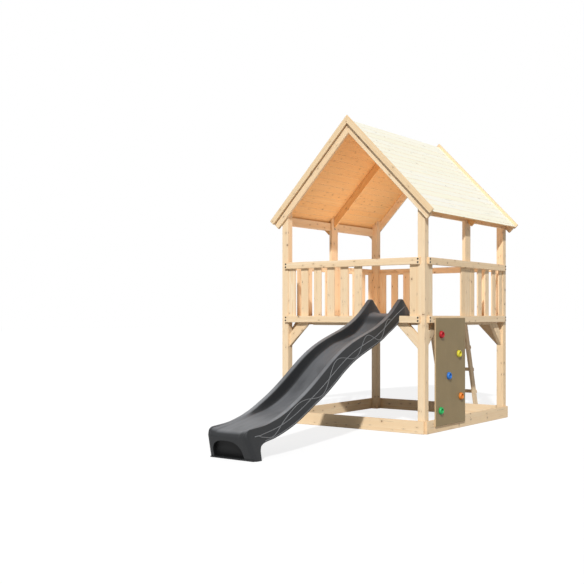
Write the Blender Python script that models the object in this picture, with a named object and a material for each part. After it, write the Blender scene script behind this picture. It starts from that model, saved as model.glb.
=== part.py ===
"""A wooden play tower: four posts, a raised floor with railings, a pitched board
roof, a wave slide, a climbing panel with holds and a ladder.

All sizes are in metres. The tower is laid out about the middle of its footprint:
X to the right, Y to the back, Z up. The slide leaves at the front (minus Y).
"""

import math

import bmesh
import bpy
from mathutils import Matrix, Vector

FIT = 0.0003  # space left between two touching pieces

# Posts and base frame
TOWER_WIDTH = 1.988  # over the posts, left to right
TOWER_DEPTH = 2.176  # over the posts, front to back
POST = 0.090  # square post section
BASE_THICK = 0.028
BASE_HEIGHT = 0.145

# Rails and skirt boards, let a little into the posts
RAIL_PROUD = 0.028  # how far rails and skirt boards stand out from the posts
RAIL_HEIGHT = 0.080
RAIL_HOUSING = 0.007  # depth of the seat cut into each post
RAIL_LAP = 0.035  # how far a rail runs over a post
SLAT_LET_IN = 0.001  # depth of the slats' seats in the back of the top rail
FLOOR_TOP = 1.3145
RAILING_RISE = 0.655  # top of the railings above the floor

# Railing slats
SLAT_THICK = 0.018
SLAT_WIDTH = 0.105
SLAT_GAP = 0.087
SLAT_RAIL_LAP = 0.030  # how far a slat reaches up behind the top rail
SLAT_FOOT_LIFT = 0.010  # slat foot above the underside of the skirt board
FRONT_SLATS = (6, 1)  # how many stand left of the slide, and how many right of it
BACK_SLATS = (4, 2)  # how many stand left of the ladder, and how many right of it
SIDE_SLATS_BETWEEN = 3  # between the slat at a corner post and the one at the middle post

# Floor
FLOOR_THICK = 0.020
FLOOR_BOARDS = 14  # between the inner faces of the corner posts
BEAM_THICK = 0.045
BEAM_HEIGHT = 0.090
JOIST_SPACING = 0.470
FLOOR_GROOVE = 0.003  # depth of the V between two boards

# Knee braces under the floor, at 45 degrees
BRACE_THICK = 0.045
BRACE_WIDTH = 0.110
BRACE_DROP = 0.3595  # foot of the brace's lower edge below the floor boards

# Middle posts of the two long sides
MID_POST_THICK = 0.040
MID_POST_WIDTH = 0.145

# Roof
ROOF_PITCH = math.radians(46.0)
ROOF_OVERHANG = 0.1175  # level, past the posts
ROOF_BOARD_THICK = 0.018
ROOF_BOARD_COVER = 0.0914
ROOF_GROOVE = 0.003  # depth of the V between two boards
RAFTER_THICK = 0.032
RAFTER_DEPTH = 0.090
ROOF_PAST_RAFTER = 0.013  # how far the roof boards run on past the end rafters
BARGE_THICK = 0.022
BARGE_WIDTH = 0.067
BARGE_STAND = 0.034  # barge board's top edge above the roof boards
EAVES_BEAM_THICK = 0.028
EAVES_BEAM_RISE = 1.1255  # its underside above the floor
EAVES_BEAM_HEIGHT = 0.100
ROOF_OVER_BEAM = 0.0198  # from the eaves beam's outer top edge up to the roof boards
RAFTER_SEAT = 0.050  # height of the eaves beam left under the middle rafter

# Ladder at the back
LADDER_LEFT = -0.090
LADDER_RIGHT = 0.440
LADDER_RAIL_THICK = 0.028
LADDER_RAIL_DEPTH = 0.093  # measured level, front to back
LADDER_REACH = 0.372  # back of its foot, out from the posts' back face
LADDER_TOP_REACH = 0.016  # back of its head, out from the posts' back face
RUNG_THICK = 0.020
RUNG_HEIGHT = 0.045
RUNG_FIRST = 0.284
RUNG_SPACING = 0.303

# Climbing panel on the right side
PANEL_THICK = 0.018
PANEL_START = 0.083  # its front edge, behind the front post
PANEL_WIDTH = 0.732
PANEL_BOTTOM = 0.0685
PANEL_TOP_DROP = 0.024  # its top edge below the floor
HOLD_RADIUS = 0.0425
HOLD_TOP_RADIUS = 0.028
HOLD_HEIGHT = 0.030
HOLD_PLACES = {  # behind the panel's front edge, and up from its bottom edge
    "hold_red": (0.122, 1.035),
    "hold_yellow": (0.555, 0.804),
    "hold_blue": (0.303, 0.559),
    "hold_orange": (0.607, 0.306),
    "hold_green": (0.106, 0.174),
}

# Slide
SLIDE_MIDDLE = 0.435  # its centre line, right of the tower's middle
SLIDE_REACH = 2.712  # front of its nose, out from the posts' front face
SLIDE_HEAD = 0.288  # top end of the slide, behind the posts' front face
SLIDE_WALL = 0.008
RIM_OUTER_HALF = 0.230  # half the slide's width at the outer edges of its rims
RIM_WIDTH = 0.055
NOSE_RIM_WIDTH = 0.022  # the rims narrow to this at the nose
RIM_NARROWS = 0.450  # where they begin to narrow, behind the nose
BANK_WIDTH = 0.025  # from the rim's inner edge in to the flat of the bed
BED_ROUND = 0.030  # height of the rounding where the bed turns up into its sides
RIM_ROUND = 0.008
SKIRT_FLARE = 0.175  # outward lean of the side skirts, sideways per unit of height
NOSE_RADIUS = 0.075
NOSE_CORNER = 0.030  # rounding of the nose's corners, seen from above
NOSE_LEAN = 0.085  # how far the foot of the nose stands back under its top
NOSE_PLATE = 0.080
NOSE_HEIGHT = 0.266
NOSE_RIM = 0.026  # height of the side rims over the bed where they end at the nose
HEAD_CURVE = 0.050  # length over which the skirts' lower edge turns up to the floor
LEG_BACK = 0.170  # back edge of the slide's leg, behind the nose
LEG_BLEND = 0.060  # length over which the skirts' lower edge turns down into the leg
ARCH_SIDE = 0.050  # from the arch's foot out to the line of the rims
ARCH_HEIGHT = 0.160
ARCH_DEPTH = 0.045
ARCH_SHIFT = -0.032
ARCH_SILL = 0.004  # between the toe's top and the arch's foot
TOE_THICK = 0.012
TOE_REACH = 0.014
SLIDE_STEP = 0.085  # spacing of the slide's cross-sections

# Fasteners
BOLT_HEAD_RADIUS = 0.0085
BOLT_HEAD_HEIGHT = 0.005
BOLT_SINK = 0.001  # how far a head is bedded in the wood
BOLT_LOW = 0.30  # heights of a pair of bolts, as shares of the rail's height
BOLT_HIGH = 0.75
ROUND_SIDES = 8
HOLD_SIDES = 20
HOLD_BOLT_RADIUS = 0.005
HOLD_BORE = 0.0054
HOLD_BOLT_HEAD = 0.008
HOLD_RECESS = 0.016
HOLD_RECESS_DEPTH = 0.012
NUT_RADIUS = 0.011
NUT_THICK = 0.006
SLIDE_SCREW_OFFSET = 0.100
SLIDE_SCREW_BACK = 0.025  # from the top end of the slide
SLIDE_SCREW_HEAD = 0.007
SLIDE_SCREW_HEIGHT = 0.004

# Worked out from the sizes above
HALF_WIDTH = TOWER_WIDTH / 2
HALF_DEPTH = TOWER_DEPTH / 2
HANDRAIL_TOP = FLOOR_TOP + RAILING_RISE
FLOOR_UNDER = FLOOR_TOP - FLOOR_THICK
BEAM_TOP = FLOOR_UNDER - FIT
BEAM_BOTTOM = BEAM_TOP - BEAM_HEIGHT
SKIRT_BOTTOM = FLOOR_TOP - RAIL_HEIGHT
HANDRAIL_BOTTOM = HANDRAIL_TOP - RAIL_HEIGHT
SLAT_FACE_BACK = RAIL_HOUSING + FIT  # outer face of a slat, in from the posts' outer face
SLAT_BACK = SLAT_FACE_BACK + SLAT_THICK
TOP_RAIL_BACK = SLAT_FACE_BACK + SLAT_LET_IN
BEAM_BACK = SLAT_BACK + FIT
MID_POST_HALF = MID_POST_WIDTH / 2
MID_POST_FACE = TOP_RAIL_BACK + FIT  # outer and inner faces, in from the posts' outer face
MID_POST_BACK = MID_POST_FACE + MID_POST_THICK
PANEL_FACE = HALF_WIDTH + BASE_THICK + FIT + PANEL_THICK
PANEL_FRONT = -HALF_DEPTH + POST + PANEL_START
PANEL_BACK = PANEL_FRONT + PANEL_WIDTH
PANEL_TOP = FLOOR_TOP - PANEL_TOP_DROP
EAVES_BEAM_BOTTOM = FLOOR_TOP + EAVES_BEAM_RISE
EAVES_BEAM_TOP = EAVES_BEAM_BOTTOM + EAVES_BEAM_HEIGHT
ROOF_SLOPE = (HALF_WIDTH + ROOF_OVERHANG) / math.cos(ROOF_PITCH)  # ridge to eaves
ROOF_BOARD_RISE = ROOF_BOARD_THICK / math.cos(ROOF_PITCH)  # their thickness, measured plumb
ROOF_OVER_POST = EAVES_BEAM_TOP + ROOF_OVER_BEAM + ROOF_BOARD_RISE
RIDGE_HEIGHT = ROOF_OVER_POST + HALF_WIDTH * math.tan(ROOF_PITCH)
RAFTER_SEAT_HEIGHT = EAVES_BEAM_BOTTOM + RAFTER_SEAT
RAFTER_TOP = -ROOF_BOARD_THICK - FIT  # heights square to the slope, from the roof's surface
RAFTER_UNDER = RAFTER_TOP - RAFTER_DEPTH
RAFTER_FACE = HALF_DEPTH + FIT + RAFTER_THICK
ROOF_END = RAFTER_FACE + ROOF_PAST_RAFTER
SLIDE_FRONT = -HALF_DEPTH - SLIDE_REACH
RIM_INNER_HALF = RIM_OUTER_HALF - RIM_WIDTH
BED_HALF = RIM_INNER_HALF - BANK_WIDTH
ARCH_HALF = RIM_OUTER_HALF - ARCH_SIDE
LADDER_BACK = HALF_DEPTH + LADDER_REACH
ORIGIN_SHIFT = -(SLIDE_FRONT + LADDER_BACK) / 2

WOOD = (0.80, 0.62, 0.38)
WOOD_LIGHT = (0.87, 0.74, 0.52)
WOOD_WARM = (0.74, 0.50, 0.26)
PANEL_TAUPE = (0.25, 0.20, 0.11)
PLASTIC_GREY = (0.055, 0.056, 0.058)
HOLD_COLOURS = {
    "hold_red": (0.52, 0.016, 0.022),
    "hold_yellow": (0.66, 0.56, 0.035),
    "hold_blue": (0.03, 0.17, 0.60),
    "hold_orange": (0.76, 0.20, 0.02),
    "hold_green": (0.03, 0.46, 0.12),
}

# The outward direction and the direction along each side of the tower
SIDES = {
    "front": (Vector((0, -1, 0)), Vector((1, 0, 0)), HALF_DEPTH, HALF_WIDTH),
    "back": (Vector((0, 1, 0)), Vector((1, 0, 0)), HALF_DEPTH, HALF_WIDTH),
    "left": (Vector((-1, 0, 0)), Vector((0, 1, 0)), HALF_WIDTH, HALF_DEPTH),
    "right": (Vector((1, 0, 0)), Vector((0, 1, 0)), HALF_WIDTH, HALF_DEPTH),
}


def clear_scene():
    for item in list(bpy.data.objects):
        bpy.data.objects.remove(item, do_unlink=True)


def new_finish(name, colour, roughness, metallic):
    finish = bpy.data.materials.new(name + "_finish")
    finish.use_nodes = True
    shader = finish.node_tree.nodes["Principled BSDF"]
    shader.inputs["Base Color"].default_value = (*colour, 1.0)
    shader.inputs["Roughness"].default_value = roughness
    shader.inputs["Metallic"].default_value = metallic
    finish.diffuse_color = (*colour, 1.0)
    return finish


def add_prism(shape, outline, place, near, far):
    """A closed prism: the outline's (a, b) points, carried from near to far by place(a, b, c)."""
    ends = []
    for c in (near, far):
        ends.append([shape.verts.new(place(a, b, c)) for a, b in outline])
    count = len(outline)
    shape.faces.new(ends[0][::-1])
    shape.faces.new(ends[1])
    for i in range(count):
        j = (i + 1) % count
        shape.faces.new((ends[0][i], ends[0][j], ends[1][j], ends[1][i]))


def add_block(shape, low, high):
    outline = [(low[0], low[1]), (high[0], low[1]), (high[0], high[1]), (low[0], high[1])]
    add_prism(shape, outline, lambda a, b, c: Vector((a, b, c)), low[2], high[2])


def add_side_prism(shape, side, outline, inner, outer):
    """A prism on one side of the tower: the outline runs along the side and up, and the
    two depths are measured in from the posts' outer face (negative stands proud of it)."""
    out, along, face, _ = SIDES[side]
    add_prism(
        shape,
        outline,
        lambda a, b, c: out * (face - c) + along * a + Vector((0, 0, b)),
        inner,
        outer,
    )


def add_side_block(shape, side, start, end, inner, outer, bottom, top):
    outline = [(start, bottom), (end, bottom), (end, top), (start, top)]
    add_side_prism(shape, side, outline, inner, outer)


def add_turned(shape, profile, sides, place):
    """A turned solid, capped at both ends: (radius, height) points about the local Z axis,
    moved by place."""
    rings = []
    for radius, height in profile:
        ring = []
        for k in range(sides):
            angle = 2 * math.pi * k / sides
            spot = Vector((radius * math.cos(angle), radius * math.sin(angle), height))
            ring.append(shape.verts.new(place @ spot))
        rings.append(ring)
    shape.faces.new(rings[0])
    shape.faces.new(rings[-1])
    for lower, upper in zip(rings, rings[1:]):
        for k in range(sides):
            j = (k + 1) % sides
            shape.faces.new((lower[k], lower[j], upper[j], upper[k]))


def make_piece(name, fill, colour=WOOD, roughness=0.6, metallic=0.0, smooth=False):
    """One named object, with its origin at the middle of its shape."""
    shape = bmesh.new()
    fill(shape)
    bmesh.ops.recalc_face_normals(shape, faces=shape.faces)
    corners = [v.co for v in shape.verts]
    low = Vector([min(c[i] for c in corners) for i in range(3)])
    high = Vector([max(c[i] for c in corners) for i in range(3)])
    middle = (low + high) / 2
    bmesh.ops.translate(shape, verts=shape.verts, vec=-middle)
    mesh = bpy.data.meshes.new(name)
    shape.to_mesh(mesh)
    shape.free()
    piece = bpy.data.objects.new(name, mesh)
    bpy.context.scene.collection.objects.link(piece)
    piece.location = middle
    piece.parent = bpy.data.objects["tower_middle"]
    mesh.materials.append(new_finish(name, colour, roughness, metallic))
    if smooth:
        mesh.shade_smooth()
        mesh.set_sharp_from_angle(angle=math.radians(35.0))
    return piece


def make_cutter(name, fill):
    cutter = make_piece(name, fill)
    cutter.hide_render = True
    cutter.display_type = "WIRE"
    return cutter


def carve(piece, cutter, operation="DIFFERENCE"):
    change = piece.modifiers.new(cutter.name, "BOOLEAN")
    change.operation = operation
    change.solver = "EXACT"
    change.object = cutter


def facing(direction, spot):
    """The matrix that stands a turned piece on spot, with its local Z along direction."""
    turn = Vector((0, 0, 1)).rotation_difference(direction).to_matrix().to_4x4()
    return Matrix.Translation(spot) @ turn


def rail_half_length(half_along):
    return half_along - POST + RAIL_LAP


def roof_point(side, down, lift):
    """A point of the roof's cross-section: down the slope from the ridge, and lifted square to it."""
    across = down * math.cos(ROOF_PITCH) + lift * math.sin(ROOF_PITCH)
    height = RIDGE_HEIGHT - down * math.sin(ROOF_PITCH) + lift * math.cos(ROOF_PITCH)
    return (side * across, height)


def ridge_point(side, lift):
    """Where a layer of the roof meets the plumb cut at the ridge."""
    down = (FIT / 2 - lift * math.sin(ROOF_PITCH)) / math.cos(ROOF_PITCH)
    return roof_point(side, down, lift)


def layer_height(across, lift):
    """Height of a layer of the roof at a distance across from the ridge."""
    return RIDGE_HEIGHT - across * math.tan(ROOF_PITCH) + lift / math.cos(ROOF_PITCH)


def add_bolt_head(shape, out, spot):
    """A domed bolt head, bedded a little into the wood."""
    profile = [
        (BOLT_HEAD_RADIUS, -BOLT_SINK),
        (BOLT_HEAD_RADIUS, BOLT_HEAD_HEIGHT * 0.6),
        (BOLT_HEAD_RADIUS * 0.6, BOLT_HEAD_HEIGHT),
    ]
    add_turned(shape, profile, ROUND_SIDES, facing(out, spot))


def make_rail_bolts(side, bottom):
    """The two bolt heads at each end of a rail, as one shape to join to it."""
    out, along, face, half_along = SIDES[side]
    reach = rail_half_length(half_along) - RAIL_LAP / 2

    def fill(shape):
        for end in (-1, 1):
            for share in (BOLT_LOW, BOLT_HIGH):
                spot = out * (face + RAIL_PROUD) + along * end * reach
                spot.z = bottom + share * RAIL_HEIGHT
                add_bolt_head(shape, out, spot)

    return fill


def make_posts():
    seats = make_seat_cutter()
    lift = -ROOF_BOARD_THICK - FIT
    inner = HALF_WIDTH - POST
    for depth_name, depth_sign in (("front", -1), ("back", 1)):
        for side_name, side in (("left", -1), ("right", 1)):
            outline = [
                (side * inner, 0.0),
                (side * HALF_WIDTH, 0.0),
                (side * HALF_WIDTH, layer_height(HALF_WIDTH, lift)),
                (side * inner, layer_height(inner, lift)),
            ]
            near = depth_sign * (HALF_DEPTH - POST)
            far = depth_sign * HALF_DEPTH

            def fill(shape, outline=outline, near=near, far=far):
                add_prism(shape, outline, lambda a, b, c: Vector((a, c, b)), near, far)

            carve(make_piece("post_" + depth_name + "_" + side_name, fill), seats)


def make_seat_cutter():
    """The shallow seats for the rails and the skirt boards, cut into the posts' outer faces."""
    spare = 0.01

    def fill(shape):
        for side, (_, _, _, half_along) in SIDES.items():
            end = rail_half_length(half_along) + FIT
            start = half_along - POST - spare
            for bottom, depth in ((SKIRT_BOTTOM, RAIL_HOUSING), (HANDRAIL_BOTTOM, TOP_RAIL_BACK)):
                low, high = bottom - FIT, bottom + RAIL_HEIGHT + FIT
                for sign in (-1, 1):
                    ends = (sign * start, sign * end)
                    add_side_block(shape, side, *ends, depth + FIT, -spare, low, high)

    return make_cutter("rail_seats", fill)


def make_base_boards():
    for side, (_, _, _, half_along) in SIDES.items():

        def fill(shape, side=side, reach=half_along):
            add_side_block(shape, side, -reach, reach, -FIT, -BASE_THICK, 0.0, BASE_HEIGHT)

        make_piece("base_board_" + side, fill)


def make_skirt_boards():
    for side, (_, _, _, half_along) in SIDES.items():
        reach = rail_half_length(half_along)

        def fill(shape, side=side, reach=reach):
            depths = (RAIL_HOUSING, -RAIL_PROUD)
            add_side_block(shape, side, -reach, reach, *depths, SKIRT_BOTTOM, FLOOR_TOP)

        board = make_piece("skirt_board_" + side, fill)
        heads = make_cutter("skirt_bolts_" + side, make_rail_bolts(side, SKIRT_BOTTOM))
        carve(board, heads, "UNION")


def slat_starts(side):
    """Where each slat of a side begins, along that side."""
    inner = SIDES[side][3] - POST - FIT
    step = SLAT_WIDTH + SLAT_GAP
    if side in ("front", "back"):
        left, right = FRONT_SLATS if side == "front" else BACK_SLATS
        starts = [-inner + k * step for k in range(left)]
        return starts + [inner - SLAT_WIDTH - k * step for k in range(right)]
    middle = MID_POST_HALF + FIT
    room = inner - SLAT_WIDTH - middle
    step = room / (SIDE_SLATS_BETWEEN + 1)
    half = [middle + k * step for k in range(SIDE_SLATS_BETWEEN + 2)]
    mirrored = [-start - SLAT_WIDTH for start in half]
    if side == "right":
        mirrored = [mirrored[0], mirrored[-1]]
    return half + mirrored


def make_railings():
    """A railing is a top rail with its slats fixed behind it and its bolt heads in front."""
    bottom = SKIRT_BOTTOM + SLAT_FOOT_LIFT
    top = HANDRAIL_BOTTOM + SLAT_RAIL_LAP
    for side, (_, _, _, half_along) in SIDES.items():
        reach = rail_half_length(half_along)

        def fill(shape, side=side, reach=reach):
            depths = (TOP_RAIL_BACK, -RAIL_PROUD)
            add_side_block(shape, side, -reach, reach, *depths, HANDRAIL_BOTTOM, HANDRAIL_TOP)

        def fill_slats(shape, side=side):
            for start in slat_starts(side):
                end = start + SLAT_WIDTH
                add_side_block(shape, side, start, end, SLAT_BACK, SLAT_FACE_BACK, bottom, top)

        railing = make_piece("railing_" + side, fill)
        carve(railing, make_cutter("slats_" + side, fill_slats), "UNION")
        heads = make_cutter("rail_bolts_" + side, make_rail_bolts(side, HANDRAIL_BOTTOM))
        carve(railing, heads, "UNION")


def side_ends(side):
    """The names of the two ends of a side, with their directions along it."""
    if side in ("front", "back"):
        return (("left", -1), ("right", 1))
    return (("front", -1), ("back", 1))


def make_knee_braces():
    low = FLOOR_UNDER - BRACE_DROP
    high = low + BRACE_WIDTH / math.cos(math.radians(45.0))
    for side, (_, _, _, half_along) in SIDES.items():
        post = half_along - POST
        for end, sign in side_ends(side):
            outline = [
                (sign * (post - FIT), low),
                (sign * (post - FIT), high),
                (sign * (post - BEAM_TOP + high), BEAM_TOP),
                (sign * (post - BEAM_TOP + low), BEAM_TOP),
            ]

            def fill(shape, side=side, outline=outline):
                add_side_prism(shape, side, outline, BEAM_BACK, BEAM_BACK + BRACE_THICK)

            make_piece("knee_brace_" + side + "_" + end, fill)


def make_floor_frame():
    for side, (_, _, _, half_along) in SIDES.items():
        reach = half_along - POST - BRACE_DROP - 2 * FIT

        def fill(shape, side=side, reach=reach):
            depths = (BEAM_BACK, BEAM_BACK + BEAM_THICK)
            add_side_block(shape, side, -reach, reach, *depths, BEAM_BOTTOM, BEAM_TOP)

        make_piece("floor_beam_" + side, fill)

    for name, place in (("left", -1), ("middle", 0), ("right", 1)):

        def fill_joist(shape, middle=place * JOIST_SPACING):
            half = BEAM_THICK / 2
            reach = HALF_DEPTH - BEAM_BACK - BEAM_THICK - FIT
            low = (middle - half, -reach, BEAM_BOTTOM)
            add_block(shape, low, (middle + half, reach, BEAM_TOP))

        make_piece("floor_joist_" + name, fill_joist)


def make_floor_boards():
    """The deck: boards laid side by side with a V between them, cut out round the posts."""
    edge = HALF_DEPTH - BEAM_BACK
    inner = HALF_DEPTH - POST
    reach = HALF_WIDTH - BEAM_BACK
    cover = 2 * inner / FLOOR_BOARDS
    outline = [(edge, FLOOR_UNDER), (-edge, FLOOR_UNDER), (-edge, FLOOR_TOP)]
    for k in range(FLOOR_BOARDS + 1):
        joint = -inner + k * cover
        outline.append((joint - FLOOR_GROOVE, FLOOR_TOP))
        outline.append((joint, FLOOR_TOP - FLOOR_GROOVE))
        outline.append((joint + FLOOR_GROOVE, FLOOR_TOP))
    outline.append((edge, FLOOR_TOP))

    def fill(shape):
        add_prism(shape, outline, lambda a, b, c: Vector((c, a, b)), -reach, reach)

    def fill_notches(shape):
        low, high = FLOOR_UNDER - POST, FLOOR_TOP + POST
        for side in ("left", "right"):
            depths = (MID_POST_BACK + FIT, -POST)
            half = MID_POST_HALF + FIT
            add_side_block(shape, side, -half, half, *depths, low, high)
            for sign in (-1, 1):
                ends = (sign * (inner - FIT), sign * HALF_DEPTH)
                add_side_block(shape, side, *ends, POST + FIT, -POST, low, high)

    boards = make_piece("floor_boards", fill, WOOD_WARM)
    carve(boards, make_cutter("floor_notches", fill_notches))


def make_mid_posts():
    """A middle post stands on the floor beam. Its head is thinned to a tongue behind the eaves
    beam, bolted to it, and slotted for the middle rafter."""
    lift = -ROOF_BOARD_THICK - FIT
    x_in = HALF_WIDTH - MID_POST_BACK
    x_out = HALF_WIDTH - MID_POST_FACE
    x_tongue = HALF_WIDTH - EAVES_BEAM_THICK - FIT
    shoulder = EAVES_BEAM_BOTTOM - FIT
    outline = [
        (x_in, BEAM_TOP + FIT),
        (x_out, BEAM_TOP + FIT),
        (x_out, shoulder),
        (x_tongue, shoulder),
        (x_tongue, layer_height(x_tongue, lift)),
        (x_in, layer_height(x_in, lift)),
    ]
    for side in ("left", "right"):
        out = SIDES[side][0]

        def fill(shape, out=out):
            def place(a, b, c):
                return out * a + Vector((0, c, b))

            add_prism(shape, outline, place, -MID_POST_HALF, MID_POST_HALF)

        def fill_slot(shape, side=side):
            half = RAFTER_THICK / 2 + FIT
            seat = RAFTER_SEAT_HEIGHT - FIT
            add_side_block(shape, side, -half, half, 2 * POST, 0.0, seat, RIDGE_HEIGHT)

        def fill_bolt(shape, out=out):
            spot = out * x_in
            spot.z = (EAVES_BEAM_BOTTOM + RAFTER_SEAT_HEIGHT) / 2
            add_bolt_head(shape, -out, spot)

        post = make_piece("mid_post_" + side, fill)
        carve(post, make_cutter("rafter_slot_" + side, fill_slot))
        carve(post, make_cutter("mid_post_bolt_" + side, fill_bolt), "UNION")


def make_eaves_beams():
    reach = HALF_DEPTH - POST - FIT
    half_slot = RAFTER_THICK / 2 + FIT
    seat = RAFTER_SEAT_HEIGHT - FIT
    outline = [
        (-reach, EAVES_BEAM_BOTTOM),
        (reach, EAVES_BEAM_BOTTOM),
        (reach, EAVES_BEAM_TOP),
        (half_slot, EAVES_BEAM_TOP),
        (half_slot, seat),
        (-half_slot, seat),
        (-half_slot, EAVES_BEAM_TOP),
        (-reach, EAVES_BEAM_TOP),
    ]
    for side in ("left", "right"):

        def fill(shape, side=side):
            add_side_prism(shape, side, outline, EAVES_BEAM_THICK, 0.0)

        make_piece("eaves_beam_" + side, fill)


def make_rafters():
    seat_in = HALF_WIDTH - MID_POST_BACK - FIT
    seat_out = HALF_WIDTH + FIT
    places = {
        "front": -RAFTER_FACE,
        "middle": -RAFTER_THICK / 2,
        "back": RAFTER_FACE - RAFTER_THICK,
    }
    for place, near in places.items():
        for side_name, side in (("left", -1), ("right", 1)):
            outline = [
                ridge_point(side, RAFTER_TOP),
                roof_point(side, ROOF_SLOPE, RAFTER_TOP),
                roof_point(side, ROOF_SLOPE, RAFTER_UNDER),
            ]
            if place == "middle":
                outline += [
                    (side * seat_out, layer_height(seat_out, RAFTER_UNDER)),
                    (side * seat_out, RAFTER_SEAT_HEIGHT),
                    (side * seat_in, RAFTER_SEAT_HEIGHT),
                    (side * seat_in, layer_height(seat_in, RAFTER_UNDER)),
                ]
            outline.append(ridge_point(side, RAFTER_UNDER))

            def fill(shape, outline=outline, near=near):
                far = near + RAFTER_THICK
                add_prism(shape, outline, lambda a, b, c: Vector((a, c, b)), near, far)

            make_piece("rafter_" + place + "_" + side_name, fill)


def make_barge_boards():
    bottom = BARGE_STAND - BARGE_WIDTH
    for place, sign in (("front", -1), ("back", 1)):
        for side_name, side in (("left", -1), ("right", 1)):
            outline = [
                ridge_point(side, BARGE_STAND),
                roof_point(side, ROOF_SLOPE, BARGE_STAND),
                roof_point(side, ROOF_SLOPE, bottom),
                ridge_point(side, bottom),
            ]

            def fill(shape, outline=outline, sign=sign):
                near = sign * (ROOF_END + FIT)
                far = sign * (ROOF_END + BARGE_THICK)
                add_prism(shape, outline, lambda a, b, c: Vector((a, c, b)), near, far)

            make_piece("barge_board_" + place + "_" + side_name, fill, WOOD_LIGHT)


def make_roof_boards():
    """Each slope's boards, laid close with a V between them, end at the ridge in a plumb cut."""
    cut = ROOF_GROOVE
    for side_name, side in (("left", -1), ("right", 1)):
        outline = [ridge_point(side, -ROOF_BOARD_THICK), ridge_point(side, 0.0)]
        joint = ROOF_BOARD_COVER
        while joint < ROOF_SLOPE - cut:
            outline.append(roof_point(side, joint - cut, 0.0))
            outline.append(roof_point(side, joint, -cut))
            outline.append(roof_point(side, joint + cut, 0.0))
            joint += ROOF_BOARD_COVER
        outline.append(roof_point(side, ROOF_SLOPE, 0.0))
        outline.append(roof_point(side, ROOF_SLOPE, -ROOF_BOARD_THICK))

        def fill(shape, outline=outline):
            reach = ROOF_END
            add_prism(shape, outline, lambda a, b, c: Vector((a, c, b)), -reach, reach)

        make_piece("roof_boards_" + side_name, fill, WOOD_LIGHT)


def ladder_back(height):
    """The back edge of the ladder's rails at a height."""
    lean = (LADDER_REACH - LADDER_TOP_REACH) / BEAM_BOTTOM
    return LADDER_BACK - lean * height


def make_ladder():
    top = BEAM_BOTTOM - FIT
    starts = {"left": LADDER_LEFT, "right": LADDER_RIGHT - LADDER_RAIL_THICK}
    for name, start in starts.items():
        outline = [
            (ladder_back(0.0) - LADDER_RAIL_DEPTH, 0.0),
            (ladder_back(0.0), 0.0),
            (ladder_back(top), top),
            (ladder_back(top) - LADDER_RAIL_DEPTH, top),
        ]

        def fill(shape, outline=outline, start=start):
            end = start + LADDER_RAIL_THICK
            add_prism(shape, outline, lambda a, b, c: Vector((c, a, b)), start, end)

        make_piece("ladder_rail_" + name, fill)

    slope = Vector((ladder_back(top) - ladder_back(0.0), top)).normalized()
    square = Vector((slope.y, -slope.x))
    for k, name in enumerate(("low", "middle", "high")):
        height = RUNG_FIRST + k * RUNG_SPACING
        foot = Vector((ladder_back(height), height)) + square * FIT
        half = slope * RUNG_HEIGHT / 2
        thick = square * RUNG_THICK
        outline = [foot - half, foot + half, foot + half + thick, foot - half + thick]

        def fill_rung(shape, outline=outline):
            ends = (LADDER_LEFT, LADDER_RIGHT)
            add_prism(shape, outline, lambda a, b, c: Vector((c, a, b)), *ends)

        make_piece("ladder_rung_" + name, fill_rung)


def make_climbing_panel():
    back = PANEL_FACE - PANEL_THICK

    def fill(shape):
        low = (back, PANEL_FRONT, PANEL_BOTTOM)
        add_block(shape, low, (PANEL_FACE, PANEL_BACK, PANEL_TOP))

    def fill_bores(shape):
        profile = [(HOLD_BORE, -PANEL_THICK), (HOLD_BORE, 2 * PANEL_THICK)]
        for along, up in HOLD_PLACES.values():
            spot = Vector((back, PANEL_FRONT + along, PANEL_BOTTOM + up))
            place = facing(Vector((1, 0, 0)), spot)
            add_turned(shape, profile, ROUND_SIDES, place)

    panel = make_piece("climbing_panel", fill, PANEL_TAUPE, 0.6)
    carve(panel, make_cutter("panel_bores", fill_bores))


def make_holds():
    """Each hold is a squat cone with a hollowed face that holds the head of its bolt. The bolt
    goes through the panel into a nut behind it, and is one with the hold."""
    height = HOLD_HEIGHT
    seat = height - HOLD_RECESS_DEPTH
    behind = -PANEL_THICK - 2 * FIT
    profile = [
        (NUT_RADIUS * 0.8, behind - NUT_THICK),
        (NUT_RADIUS, behind - NUT_THICK * 0.8),
        (NUT_RADIUS, behind),
        (HOLD_BOLT_RADIUS, behind),
        (HOLD_BOLT_RADIUS, 0.0),
        (HOLD_RADIUS, 0.0),
        (HOLD_RADIUS, height * 0.25),
        (HOLD_RADIUS * 0.93, height * 0.55),
        (HOLD_TOP_RADIUS * 1.18, height * 0.92),
        (HOLD_TOP_RADIUS, height),
        (HOLD_RECESS * 1.35, height * 0.90),
        (HOLD_RECESS, height * 0.88),
        (HOLD_RECESS, seat),
        (HOLD_BOLT_HEAD, seat),
        (HOLD_BOLT_HEAD, seat + HOLD_BOLT_RADIUS),
    ]
    for name, (along, up) in HOLD_PLACES.items():
        spot = Vector((PANEL_FACE + FIT, PANEL_FRONT + along, PANEL_BOTTOM + up))
        place = facing(Vector((1, 0, 0)), spot)

        def fill(shape, place=place):
            add_turned(shape, profile, HOLD_SIDES, place)

        make_piece(name, fill, HOLD_COLOURS[name], 0.45, 0.0, smooth=True)


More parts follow.
